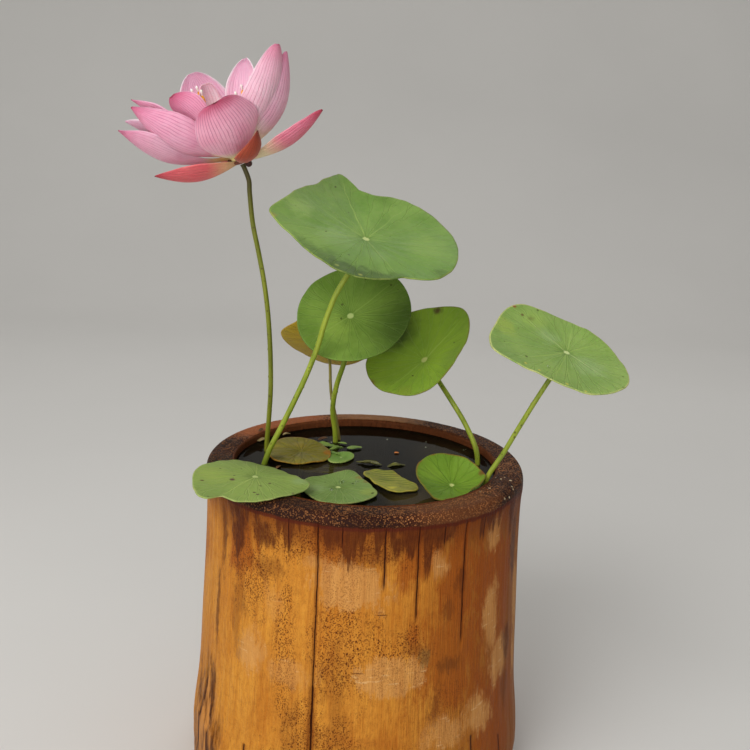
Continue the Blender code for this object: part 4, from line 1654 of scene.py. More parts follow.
@dataclass
class Bloom:
    """The open flower: petals in their layers, sepals, seed pod and stamens."""

    base: Vector = Vector((-66.6, 5.0, 313.4))
    axis: Vector = Vector((-0.37, -0.05, 0.93)).normalized()
    focus: float = 40.0
    thickness: float = 0.5
    petals: tuple = ()
    stamen_count: int = 14
    stamen_seed: int = 11
    seen_stamens: tuple = (             # tips of those that stand above the petals
        (-23.6, 0.0, 30.9), (-20.9, -1.0, 32.3), (0.6, -2.0, 33.9), (-2.4, -2.0, 30.5),
        (4.6, 2.0, 38.0), (-18.4, -3.0, 30.6), (1.8, 0.0, 32.0),
    )
    collar_radius: float = 4.45
    collar_height: float = 10.4

    def build(self) -> None:
        """Models every part of the bloom."""
        for petal in self.petals:
            self.build_petal(petal)
        self.build_middle()
        self.build_stamens()

    def build_petal(self, petal: Petal) -> None:
        """Models one petal: cupped, ribbed, waved at its margins and pointed.

        Args:
            petal: the petal's values.
        """
        foot_radius = {BloomPart.PETAL: 3.2, BloomPart.SEPAL: 2.4,
                       BloomPart.PETALOID: self.collar_radius}[petal.part]
        reach = Vector(petal.tip)
        outwards = (reach - self.axis * reach.dot(self.axis)).normalized()
        foot = self.base + self.axis * petal.level + outwards * foot_radius
        tip = self.base + reach
        along_way = (tip - foot).normalized()
        length = (tip - foot).length
        facing = self.base + self.axis * self.focus - foot.lerp(tip, 0.5)
        facing = (facing - along_way * facing.dot(along_way)).normalized()
        facing = Matrix.Rotation(math.radians(petal.roll), 3, along_way) @ facing
        aside = facing.cross(along_way)
        turn = math.radians(petal.cup)

        def shape(across: Array, along: Array) -> Array:
            """Shapes the petal's inner face.

            Args:
                across: shares across the grid.
                along: shares along it.

            Returns:
                Their places in millimetres.
            """
            share = 1.0 - (1.0 - along) ** 1.3
            swell = np.maximum(np.sin(math.pi * np.minimum(share ** petal.skew, 1.0)), 0.0)
            blend = share ** 2 * (3.0 - 2.0 * share)
            power = petal.fullness + (petal.crown - petal.fullness) * blend
            wide = petal.width * (0.16 * (1.0 - share) + swell ** power)
            bend = wide / 2 / turn
            swing = turn * (across * 2.0 - 1.0)
            slope = math.pi * petal.belly / length * np.cos(math.pi * share)
            inwards = np.array(facing)[None] + np.outer(slope, np.array(along_way))
            inwards /= np.linalg.norm(inwards, axis=1)[:, None]
            spine = np.array(foot) + np.outer(share, np.array(tip - foot))
            bulge = petal.hook * share ** 4 - petal.belly * np.sin(math.pi * share)
            spine += np.outer(bulge, np.array(facing))
            spine += np.outer(petal.sway * np.sin(math.pi * share), np.array(aside))
            places = spine + np.outer(bend * np.sin(swing), np.array(aside))
            side = np.abs(across * 2.0 - 1.0)
            margin = petal.wave * side ** 4 * ripple(places, 7.0, 4.0) * np.minimum(
                1.0, share * 2.0) * (1.0 - share ** 6)
            ribs = 0.07 * np.cos(across * math.tau * 9.0) * swell
            rise = bend * (1 - np.cos(swing)) + margin + ribs
            return places + inwards * rise[:, None]

        piece = add_sheet(petal.name, 26, 52, shape)
        thicken(piece, self.thickness, outwards=True)
        settle(piece, *petal.part.value, finish=petal.finish)

    def frame(self) -> Matrix:
        """A frame on the bloom's base whose Z is the bloom's axis.

        Returns:
            The frame, in millimetres.
        """
        right = Vector((0, 1, 0)).cross(self.axis).normalized()
        back = self.axis.cross(right)
        made = Matrix((right, back, self.axis)).transposed().to_4x4()
        made.translation = self.base
        return made

    def turned(self, name: str, profile: tuple, columns: int = 48) -> Piece:
        """Models a turned piece on the bloom's axis, closed at both ends of its profile.

        Args:
            name: the piece's name.
            profile: height and radius of each point.
            columns: faces round it.

        Returns:
            The piece.
        """
        stand = np.array(self.frame())
        rows = np.array(profile)

        def shape(across: Array, along: Array) -> Array:
            """Turns the profile.

            Args:
                across: shares across the grid.
                along: shares along it.

            Returns:
                Their places in millimetres.
            """
            turned = smooth_line(rows, along * (len(rows) - 1))
            turned[:, 1] = np.where((along <= 0) | (along >= 1), 0.0, turned[:, 1])
            angle = across * math.tau
            places = np.stack([np.cos(angle) * turned[:, 1], np.sin(angle) * turned[:, 1],
                               turned[:, 0], np.ones_like(angle)], axis=1)
            return (places @ stand.T)[:, :3]

        return add_sheet(name, columns, (len(rows) - 1) * 4, shape)

    def build_middle(self) -> None:
        """Models the core, the sepals' disc, the seed pod and the stigmas on it."""
        settle(self.turned("bloom_core", ((-0.9, 0.0), (-0.9, 4.2), (1.5, 5.2), (4.0, 4.9),
                                          (5.2, 3.6), (5.2, 0.0))), "petal", "petals",
               finish=PlainFinish((240, 222, 160), (214, 196, 120), (200, 150, 110), 0.1))
        settle(self.turned("sepal_disc", ((-3.2, 0.0), (-3.2, 2.0), (-2.7, 3.8), (-1.7, 4.4),
                                          (-1.3, 4.0), (-1.3, 0.0))), "sepal", "sepals",
               finish=PlainFinish((120, 62, 40), (70, 30, 26), (50, 22, 18), 0.3))
        scars = [add_ball(self.base + Vector(at), radius, ico=True) for at, radius in
                 (((4.7, -3.6, -2.7), 1.7), ((-4.6, -3.0, -2.5), 1.2))]
        settle(join("sepal_scars", scars), "sepal", "sepals",
               finish=PlainFinish((96, 48, 34), (46, 20, 22), (36, 18, 16), 0.3))
        settle(self.turned("pod_cone", ((5.6, 0.0), (5.6, 2.6), (8.0, 3.0), (11.5, 3.4),
                                        (14.5, 4.3), (15.4, 3.8), (15.8, 2.0), (15.6, 0.0))),
               "pod", "seed_pod",
               finish=PlainFinish((216, 206, 92), (176, 176, 70), (150, 120, 50), 0.15, 300.0,
                                  relief=0.0004, subsurface=0.1))
        stand = self.frame()
        dots = []
        for ring, count in ((0.0, 1), (2.3, 6)):
            for turn in (math.tau * index / count for index in range(count)):
                at = stand @ Vector((ring * math.cos(turn), ring * math.sin(turn), 15.8))
                dots.append(add_ball(at, 0.55, 12, 8))
        settle(join("stigmas", dots), "pod", "seed_pod",
               finish=PlainFinish((232, 200, 60), (200, 160, 40), (150, 100, 30)))

    def stamen_ways(self) -> list[tuple[Array, Array]]:
        """The foot and the end of each stamen, in the bloom's own frame.

        Returns:
            A foot and an end for each.
        """
        draw = random.Random(self.stamen_seed)
        ends = []
        for index in range(self.stamen_count):
            angle = math.tau * (index + draw.uniform(-0.2, 0.2)) / self.stamen_count
            splay = math.radians(draw.uniform(12.0, 22.0))
            length = draw.uniform(12.0, 17.0)
            wide = self.collar_radius + math.sin(splay) * length
            ends.append(np.array((math.cos(angle) * wide, math.sin(angle) * wide,
                                  self.collar_height + math.cos(splay) * length)))
        back = np.linalg.inv(np.array(self.frame()))
        ends += [(back @ np.array((*(np.array(self.base) + tip), 1.0)))[:3]
                 for tip in self.seen_stamens]
        ways = []
        for end in ends:
            outwards = np.array((end[0], end[1], 0.0)) / math.hypot(end[0], end[1])
            ways.append((outwards * self.collar_radius + (0.0, 0.0, self.collar_height), end))
        return ways

    def build_stamens(self) -> None:
        """Models the filaments, the anthers on them and the white tips over those."""
        stand = np.array(self.frame())
        parts: dict[str, list] = {"filaments": [], "anthers": [], "anther_tips": []}
        for start, end in self.stamen_ways():
            outwards = start * (1.0, 1.0, 0.0) / self.collar_radius
            length = float(np.linalg.norm(end - start))
            for part, low, high, radii in (
                    ("filaments", -0.3, length - 7.6, (0.3, 0.24, 0.22, 0.2, 0.2, 0.22)),
                    ("anthers", length - 7.9, length - 2.8, (0.2, 0.7, 0.85, 0.85, 0.7, 0.25)),
                    ("anther_tips", length - 3.1, length, (0.16, 0.3, 0.5, 0.66, 0.64, 0.2))):
                share = np.linspace(low / length, high / length, len(radii))
                bow = np.sin(math.pi * np.clip(share, 0, 1)) * length * 0.06
                places = start + np.outer(share, end - start) + np.outer(bow, outwards)
                places = places @ stand[:3, :3].T + stand[:3, 3]
                parts[part].append(add_tube("stamen", places, np.array(radii), 3))
        finishes = (
            PlainFinish((250, 226, 150), (240, 206, 120), (220, 170, 90), subsurface=0.2),
            PlainFinish((250, 176, 30), (236, 144, 16), (252, 206, 90), 0.5, 500.0,
                        relief=0.0004),
            PlainFinish((255, 250, 244), (246, 232, 226), (240, 210, 210), subsurface=0.3))
        for (name, pieces), finish in zip(parts.items(), finishes):
            settle(join(name, pieces), "stamen", "stamens", finish=finish)


PETALS = (
    Petal("front_petal", (-10.3, -25.1, 27.6), 33.8, 8.0, 52, 1.0, 15.6, -6.4, 0.35, 0.25, 1.18,
          1.3, wave=0.2, finish=FRONT_PETAL),
    Petal("tall_petal", (20.6, -10.1, 50.9), 26.7, 4.3, 62, 1.5, -28, 3.0, 0.45, 0.51, 0.88, -0.3,
          finish=TALL_PETAL),
    Petal("tall_petal_behind", (23.6, -2.6, 48.3), 27.6, 7.0, 63, 2.5, -19, 2.4, 0.61, 0.61, 0.74,
          2.9, finish=BEHIND_PETAL),
    Petal("back_petal", (-0.8, 23.2, 46.8), 21.4, 1.0, 65, 3.5, 8, 0.3, 0.65, 0.65, 1.30, -1.6,
          finish=BACK_PETAL),
    Petal("back_left_petal", (-27.3, 22.9, 37.6), 27.4, 7.6, 18, 3.0, -2, 2.1, 0.56, 0.48, 1.29,
          finish=BACK_PETAL),
    Petal("inner_left_petal", (-30.3, -11.9, 27.1), 19.5, 2.3, 28, 2.0, 25, -0.4, 0.64, 0.58, 3.25,
          4.3, finish=LEFT_PETAL),
    Petal("left_petal", (-49.2, -13.8, 19.9), 23.6, 7.5, 57, 2.0, 47, 2.1, 1.08, 0.93, 1.14, 0.2,
          finish=LEFT_PETAL),
    Petal("upper_left_petal", (-54.1, 8.3, 24.8), 27.6, 1.9, 40, 3.0, 20, 0.2, 0.71, 1.27, 1.58,
          -1.8, finish=LEFT_PETAL),
    Petal("far_left_petal", (-55.8, 4.0, 14.9), 23.8, 3.7, 41, 1.5, 25, -0.4, 0.75, 0.80, 1.30,
          1.1, finish=BACK_PETAL),
    Petal("low_left_petal", (-56.8, -8.2, 8.6), 23.4, 5.7, 40, 0.5, 28, 2.1, 1.68, 1.15, 1.74,
          -3.8, finish=LOW_PETAL),
    Petal("hidden_petal_right", (8, 31, 33), 22, 5.0, 40, finish=TALL_PETAL),
    Petal("hidden_petal_back", (-18, 37, 24), 26, 6.0, 40, 1.0, finish=LEFT_PETAL),
    Petal("hidden_petal_left", (-42, 24, 15), 24, 6.0, 40, finish=LEFT_PETAL),
    Petal("hidden_petal_low", (-3, 34, 17), 20, 4.0, 40, 0.5, finish=LOW_PETAL),
    Petal("petaloid", (-18.4, 3, 32.6), 12, 2.0, 48, 10.0, -12, 2.0, 0.3, 0.25,
          finish=CREAM_PETALOID, part=BloomPart.PETALOID),
    Petal("left_sepal", (-38.8, -11.7, -9.9), 16, 4.8, 45, -2.3, 27, 0, 0.88, 0.93, 1.07, 0.2,
          finish=CORAL_SEPAL, part=BloomPart.SEPAL),
    Petal("right_sepal", (39.8, -5.7, 23.1), 13.4, 4.5, 50, -2.3, -30, 1.0, 1.23, 0.72, 1.10,
          finish=PINK_SEPAL, part=BloomPart.SEPAL),
    Petal("front_sepal", (10.2, -26.8, 14.5), 16.8, 5.5, 70, -2.3, 11, -1.8, 1.0, 1.18, 0.81, -1.3,
          wave=0.2, finish=BROWN_SEPAL, part=BloomPart.SEPAL),
    Petal("hidden_sepal", (-12, 33, 3), 13, 4.0, 40, -2.0, fullness=0.85, finish=CORAL_SEPAL,
          part=BloomPart.SEPAL),
)


GREY_GREEN = (138, 162, 118)
# painted shade for the tall leaf's front margin, which curls down out of the light
FRONT_MARGIN_SHADE = (62, 86, 32)
BROWN_SPOT = (84, 54, 34)
RED_TIP = (132, 52, 36)
YELLOW = (196, 190, 92)
LEAVES = (
    LotusLeaf("tall_leaf", LeafFinish(
        light=(122, 152, 84), dark=(96, 130, 62), bloom=(132, 158, 98),
        patches=(
            (214, 0.36, 15, GREY_GREEN, 0.45), (295, 0.45, 9, GREY_GREEN, 0.3),
            (131, 0.46, 10, (92, 124, 62), 0.4), (64, 0.44, 12, (96, 128, 64), 0.4),
            (172, 0.83, 11, (144, 168, 108), 0.5), (9, 0.63, 14, (132, 160, 88), 0.4),
            (84, 0.97, 8, (88, 118, 56), 0.4), (262, 0.6, 24, (100, 134, 62), 0.6, 0.4),
            # the dark patches from 222 to 331 degrees at the edge are painted shade along the
            # front margin
            (320, 0.75, 22, (100, 136, 62), 0.6, 0.4), (222, 0.97, 11, FRONT_MARGIN_SHADE, 0.4),
            (243, 0.97, 15, FRONT_MARGIN_SHADE, 0.6), (262, 0.97, 16, FRONT_MARGIN_SHADE, 0.8),
            (280, 0.97, 14, FRONT_MARGIN_SHADE, 0.75), (300, 0.99, 7, FRONT_MARGIN_SHADE, 0.6),
            (331, 0.98, 7, FRONT_MARGIN_SHADE, 0.5), (255, 0.92, 1.6, (150, 160, 84), 0.6, 3.0),
            (272, 0.94, 1.4, (160, 164, 92), 0.6, 3.0), (236, 0.93, 1.3, (150, 160, 84), 0.5, 3.0),
            (196, 0.99, 3, (150, 132, 72), 0.5)),
        veins=(
            (114, 0.35), (302, 0.25), (67, 0.25, 0.35), (155, 0.25, 0.35), (10, 0.2, 0.35),
            (200, 0.2, 0.35)),
    ), trim=(
        (3, 0.994), (20, 0.999), (37, 1.011), (51, 1.017), (65, 1.010), (78, 1.019), (90, 0.996),
        (99, 0.935), (104, 0.908), (109, 0.965), (113, 1.055), (116, 1.035), (120, 1.035),
        (127, 1.055), (138, 1.04), (149, 1.005), (176, 0.999), (194, 1.014), (209, 0.977),
        (222, 0.961), (240, 0.992), (255, 1.021), (267, 1.006), (279, 1.011), (292, 1.019),
        (303, 0.976), (319, 1.032), (331, 1.008), (345, 1.002),
    ), round_trim=False, columns=180),
    LotusLeaf("facing_leaf", LeafFinish(
        light=(112, 140, 62), dark=(88, 118, 46), bloom=(122, 146, 82), hub=(170, 186, 128),
        edge=(120, 140, 76), edge_strength=0.2, hub_size=1.2, halo=0.25, vein_strength=0.07,
        patches=(
            (219, 0.38, 12, (134, 160, 76), 0.6), (142, 0.86, 6, (108, 134, 66), 0.4),
            # the last two patches, dark round the right edge, are painted shade
            (335, 1.1, 30, (50, 72, 22), 0.85, 0.3), (40, 1.1, 22, (72, 98, 34), 0.6, 0.3)),
        veins=((35, 0.2, 0.35), (215, 0.2, 0.35)),
    ), trim=(
        (7, 0.988), (34, 0.995), (100, 1.011), (145, 1.018), (164, 1.027), (181, 0.998),
        (216, 1.025), (252, 1.001), (276, 1.016), (299, 0.988), (318, 0.965), (350, 0.995),
    )),
    LotusLeaf("shaded_leaf", LeafFinish(
        light=(136, 166, 54), dark=(116, 148, 46), bloom=(140, 164, 76), edge=(128, 96, 62),
        edge_strength=0.6, hub=(176, 184, 120), hub_size=1.2, halo=0.25,
        patches=(
            # the first patch, nearly black towards the back, is a painted shadow cast by the tall
            # and facing leaves
            (107, 0.9, 20, (40, 54, 16), 0.95, 0.4), (53, 0.92, 3.5, (76, 44, 42), 0.85, 1.8),
            (180, 1.0, 3, (120, 80, 46), 0.6), (321, 0.8, 9, (124, 148, 68), 0.5),
            (226, 0.87, 7, (124, 138, 48), 0.5)),
        veins=((21, 0.3, 0.4), (200, 0.25, 0.4)),
    ), trim=(
        (11, 0.991), (22, 1.008), (39, 0.978), (55, 0.972), (81, 0.993), (144, 1.028),
        (177, 0.994), (200, 1.007), (221, 0.974), (237, 0.987), (256, 0.971), (279, 0.951),
        (308, 1.018), (331, 1.035), (352, 0.990),
    )),
    LotusLeaf("yellow_leaf", LeafFinish(
        light=(186, 160, 56), dark=(168, 140, 44), bloom=(192, 166, 76), vein=(192, 164, 78),
        vein_strength=0.05, under=(180, 154, 54), edge=(140, 90, 60), speck=(100, 64, 32),
        speck_share=0.04, hub_size=1.0, halo=0.1,
        patches=((250, 0.7, 12, (120, 108, 44), 0.5),),
    ), trim=(
        (13, 0.985), (59, 0.960), (75, 1.044), (98, 1.09), (129, 1.007), (157, 0.989),
        (181, 1.026), (211, 0.929), (240, 0.972), (272, 1.071), (299, 1.088), (331, 1.023),
    ), slot="yellow_leaf"),
    LotusLeaf("right_leaf", LeafFinish(
        light=(136, 162, 92), dark=(114, 144, 74), edge=(204, 200, 150), edge_strength=0.7,
        hub=(190, 204, 158), hub_size=0.9, vein_strength=0.2,
        patches=(
            (140, 0.69, 8, (146, 170, 92), 0.5), (175, 0.86, 9, (152, 168, 80), 0.5),
            (147, 0.35, 8, GREY_GREEN, 0.6), (320, 0.40, 11, GREY_GREEN, 0.6),
            (147, 0.82, 1.1, BROWN_SPOT, 0.8, 2.0), (169, 0.69, 0.9, BROWN_SPOT, 0.7, 2.0),
            (172, 0.41, 0.8, BROWN_SPOT, 0.6, 2.0), (140, 0.76, 2.4, BROWN_SPOT, 0.45, 2.6),
            (146, 1.0, 1.8, RED_TIP, 0.9), (228, 0.86, 1.0, YELLOW, 0.8),
            (240, 0.89, 0.9, YELLOW, 0.8), (266, 0.9, 1.2, YELLOW, 0.8),
            (282, 0.96, 0.9, YELLOW, 0.7)),
        veins=(
            (148, 0.4, 0.3, 0.8, (190, 206, 156)), (320, 0.45, 0.35, 0.8, (190, 206, 156)),
            (82, 0.3, 0.35), (39, 0.3, 0.35), (254, 0.3, 0.35), (220, 0.3, 0.35)),
    ), trim=(
        (7, 0.992), (27, 0.963), (49, 0.921), (73, 0.921), (93, 0.993), (122, 0.997), (131, 1.052),
        (139, 1.045), (147, 1.005), (173, 0.966), (188, 0.990), (213, 1.035), (222, 0.968),
        (234, 0.993), (259, 0.973), (271, 0.964), (280, 1.007), (320, 1.010), (338, 0.995),
        (353, 0.996),
    )),
    LotusLeaf("rim_leaf", LeafFinish(
        light=(138, 160, 88), dark=(120, 144, 76), bloom=(150, 170, 112), vein=(162, 180, 116),
        vein_strength=0.25, speck=(70, 50, 44), speck_share=0.06, edge=(188, 190, 140),
        hub_size=1.0,
        patches=(
            (190, 0.7, 16, (148, 166, 84), 0.5), (219, 0.38, 1.7, (92, 56, 62), 0.95),
            (209, 0.83, 1.3, BROWN_SPOT, 0.9), (356, 0.83, 6, GREY_GREEN, 0.7),
            (224, 0.92, 2.5, (112, 130, 62), 0.6, 2.2)),
        veins=(
            (247, 0.6, 0.4), (285, 0.35, 0.35), (94, 0.3, 0.35), (180, 0.25, 0.3),
            (350, 0.25, 0.3)),
    ), trim=(
        (4, 0.898), (31, 1.008), (65, 0.916), (89, 1.071), (104, 1.092), (123, 0.959),
        (151, 0.982), (180, 0.975), (204, 0.976), (226, 0.997), (236, 1.048), (243, 1.045),
        (245, 0.959), (247, 0.838), (252, 0.882), (260, 0.963), (276, 1.005), (290, 1.018),
        (308, 0.995), (328, 0.978), (341, 0.999), (351, 1.016), (359, 0.986),
    ), round_trim=False, columns=180),
    LotusLeaf("front_floating_leaf", LeafFinish(
        light=(122, 148, 88), dark=(98, 126, 66), bloom=(144, 164, 118), vein_strength=0.3,
        vein=(148, 168, 108), edge=(176, 176, 120), hub_size=0.9, speck_share=0.03,
        patches=(
            (45, 0.95, 3, (140, 118, 62), 0.7, 2.0), (20, 0.97, 2.5, (120, 90, 52), 0.6, 2.2),
            (335, 0.8, 6, (150, 160, 84), 0.5), (200, 0.6, 7, GREY_GREEN)),
        veins=((337, 0.4, 0.35),),
    ), trim=(
        (28, 0.977), (54, 0.948), (72, 1.077), (80, 1.075), (87, 0.986), (108, 0.888),
        (135, 0.865), (158, 0.981), (221, 0.984), (237, 1.018), (250, 1.057), (270, 1.032),
        (304, 0.997), (318, 0.992), (332, 1.024), (338, 1.016), (355, 0.891),
    ), ripple=0.2, columns=120, rows=30),
    LotusLeaf("wilted_leaf", LeafFinish(
        light=(136, 138, 62), dark=(88, 100, 36), bloom=(160, 158, 84), vein=(172, 166, 84),
        vein_strength=0.5, edge=(176, 160, 76), ribs=4.0, edge_strength=0.8, hub_size=0.0,
        speck_share=0.08,
        patches=(
            (271, 0.95, 3.5, (188, 178, 70), 0.8), (181, 0.33, 6, (70, 90, 30), 0.6),
            (60, 0.8, 4, (120, 96, 50), 0.5)),
    ), trim=(
        (26, 0.677), (77, 0.795), (105, 0.764), (123, 0.953), (150, 1.140), (184, 1.211),
        (230, 1.078), (256, 1.213), (271, 1.415), (293, 1.208), (318, 1.209), (329, 1.090),
        (344, 0.842),
    ), ripple=0.3, crumple=0.4, columns=96, rows=26, pleat=0.0, dimple=0.0, pool=66.2),
    LotusLeaf("right_floating_leaf", LeafFinish(
        light=(110, 140, 46), dark=(90, 122, 34), bloom=(118, 146, 62), edge=(124, 66, 40),
        edge_strength=0.7, vein=(78, 108, 30), vein_strength=0.22, hub=(180, 190, 130),
        hub_size=0.8, halo=0.15, count=13.0,
        patches=((15, 0.95, 3, (104, 54, 34), 0.8, 1.8), (150, 0.6, 7, (120, 148, 54), 0.5)),
    ), trim=(
        (0, 0.999), (24, 0.946), (50, 0.937), (74, 1.022), (97, 0.981), (125, 1.037), (144, 0.975),
        (181, 1.027), (205, 1.055), (228, 1.037), (251, 1.294), (268, 1.118), (293, 1.238),
        (318, 1.262),
    ), ripple=0.3, columns=120, rows=30, pool=66.2),
    LotusLeaf("old_leaf", LeafFinish(
        light=(138, 128, 48), dark=(108, 102, 34), bloom=(148, 136, 62), vein=(60, 56, 22),
        edge=(166, 112, 46), hub_size=0.0, vein_strength=0.28, under=(96, 84, 38), roughness=0.38,
        edge_strength=0.8, count=15.0,
        patches=(
            (352, 0.92, 4, (158, 98, 38), 0.7), (233, 0.95, 6, (74, 70, 24), 0.6),
            (109, 0.4, 6, (146, 126, 52), 0.5)),
    ), trim=(
        (8, 1.000), (44, 1.069), (70, 1.002), (103, 1.057), (143, 1.007), (231, 1.095),
        (249, 0.990), (280, 1.143), (302, 1.159), (325, 1.097), (349, 1.011),
    ), slot="old_leaf", ripple=0.3, crumple=0.25, columns=96, rows=26, pool=66.2),
    LotusLeaf("seedling_leaf", LeafFinish(
        light=(126, 160, 84), dark=(104, 142, 62), hub_size=0.4, halo=0.2,
    ), trim=(
        (19, 0.934), (57, 1.025), (97, 0.933), (151, 0.964), (222, 1.209), (247, 1.383),
        (272, 1.237), (313, 1.057),
    ), ripple=0.1, columns=72, rows=18, pleat=0.03, pool=66.2),
)


@dataclass
class SmallThings:
    """What lies on the leaves and in the water: drops, bubbles and scraps."""

    water_top: float = 160.0
    bubble_seed: int = 5
    drops: tuple = (            # leaf, direction, share of the way to its edge, radius
        ("front_floating_leaf", 73.0, 0.27, 1.3), ("front_floating_leaf", 237.0, 0.32, 0.9),
        ("front_floating_leaf", 21.0, 0.51, 1.0), ("front_floating_leaf", 31.0, 0.69, 0.7),
        ("front_floating_leaf", 334.0, 0.9, 0.6), ("front_floating_leaf", 195.0, 0.5, 0.4),
        ("right_leaf", 242.0, 0.67, 0.9), ("right_leaf", 234.0, 0.62, 0.4),
        ("rim_leaf", 320.0, 0.5, 0.5),
    )
    scraps: tuple = (           # name, centre, length, width, direction, curl, finish
        ("green_left", (-6.0, 27.0, 160.6), 8.0, 4.0, 15.0, 0.8, "green"),
        ("green_back", (-13.0, 34.0, 160.6), 5.0, 2.6, -20.0, 0.8, "green"),
        ("brown_back", (-24.0, 40.0, 160.8), 7.0, 3.0, 40.0, 1.2, "brown"),
        ("rim_left", (-58.0, 36.0, 165.6), 5.0, 2.2, 60.0, 1.2, "brown"),
        ("sunk", (-18.0, -8.0, 159.3), 30.0, 7.0, 6.0, 0.8, "olive"),
        ("curl", (2.0, 3.0, 160.4), 12.0, 3.0, -12.0, 2.4, "olive"),
        ("curl_right", (16.0, 2.0, 160.0), 9.0, 3.4, 20.0, 1.8, "olive"),
        ("sprout", (-16.0, 22.0, 161.0), 9.0, 2.4, 35.0, 2.6, "green"),
        ("sprout_low", (-18.0, 15.0, 160.8), 10.0, 2.0, -25.0, 2.0, "green"),
        ("dot", (16.6, 22.3, 160.3), 2.6, 1.6, 10.0, 0.6, "orange"),
        ("behind", (-24.0, 30.0, 160.6), 14.0, 6.0, -8.0, 1.4, "green"),
        ("pale_left", (-57.0, 33.0, 160.9), 7.0, 3.0, 50.0, 1.6, "straw"),
        ("pale_back", (-45.0, 45.0, 160.9), 5.0, 2.4, 20.0, 1.4, "straw"),
        ("stalk_foot", (-44.0, -8.0, 160.4), 5.0, 2.0, 70.0, 1.0, "brown"),
    )

    def build_drops(self, forms: dict[str, LeafForm]) -> None:
        """Lays each drop on its leaf.

        Args:
            forms: the leaves' shapes by name.
        """
        coat = Coat("drop", {"Roughness": 0.0, "IOR": 1.33, "Transmission Weight": 1.0})
        clear = mottle(coat, Scale=300.0, Spread=0.3)
        made = coat.finished(coat.mix(clear, (246, 250, 246), (255, 255, 255)))
        pieces = []
        for leaf, direction, share, radius in self.drops:
            up = forms[leaf].up
            centre = np.array(forms[leaf].at(direction, share)) + up * 0.25 * radius
            pieces.append(add_ball(centre, radius, up=up, flat=0.55))
        piece = join("water_drops", pieces)
        piece.data.materials.clear()
        piece.data.materials.append(made)
        settle(piece, "water")

    def build_bubbles(self) -> None:
        """Sets small bubbles and pale grains on the water."""
        draw = random.Random(self.bubble_seed)
        pieces = []
        for x, y, spread, count in ((-27.0, 17.0, 4.0, 6), (-17.0, 33.0, 5.0, 4),
                                    (20.0, 34.0, 14.0, 3), (54.0, 33.5, 1.0, 2)):
            for _ in range(count):
                centre = (x + draw.uniform(-spread, spread),
                          y + draw.uniform(-spread, spread), self.water_top)
                pieces.append(add_ball(centre, draw.uniform(0.2, 0.5), flat=0.6))
        settle(join("pond_bubbles", pieces), "water", finish=PlainFinish(
            (196, 200, 176), (150, 156, 128), (90, 96, 70), 0.2, roughness=0.15))

    def build_scraps(self) -> None:
        """Lays curled scraps of dead leaf in the water and on the rim."""
        finishes = {
            "olive": PlainFinish((112, 112, 50), (66, 64, 30), (140, 128, 70), 0.2, 200.0,
                                 roughness=0.35, relief=0.0004),
            "orange": PlainFinish((220, 140, 60), (196, 110, 40), (120, 70, 30), 0.1),
            "straw": PlainFinish((176, 158, 108), (124, 104, 66), (90, 70, 44), 0.2, 200.0),
            "green": PlainFinish((128, 152, 70), (92, 120, 48), (60, 80, 30), 0.1, 200.0),
            "brown": PlainFinish((120, 84, 50), (70, 44, 28), (150, 120, 80), 0.3, 200.0,
                                 roughness=0.7, relief=0.0005),
        }
        for name, middle, long, wide, turn, curl, kind in self.scraps:
            angle = math.radians(turn)
            centre = np.array(middle)

            def shape(across: Array, along: Array) -> Array:
                """Shapes the scrap.

                Args:
                    across: shares across the grid.
                    along: shares along it.

                Returns:
                    Their places in millimetres.
                """
                x = along * 2.0 - 1.0
                y = (across * 2.0 - 1.0) * np.sqrt(np.clip(1.0 - x ** 2, 0.0, 1.0))
                way = (math.cos(angle), math.sin(angle), 0.0)
                aside = (-math.sin(angle), math.cos(angle), 0.0)
                apart = np.outer(x * long / 2, way) + np.outer(y * wide / 2, aside)
                rough = 1.0 + 0.3 * ripple(centre + apart, 3.0, 6.0)
                places = centre + apart * rough[:, None]
                places[:, 2] += curl * (y ** 2) * 0.6 + ripple(places, 2.5, 9.0) * 0.3 * curl
                return places

            piece = add_sheet("scrap_" + name, 10, 20, shape)
            thicken(piece, 0.3)
            settle(piece, "old_leaf", finish=finishes[kind])


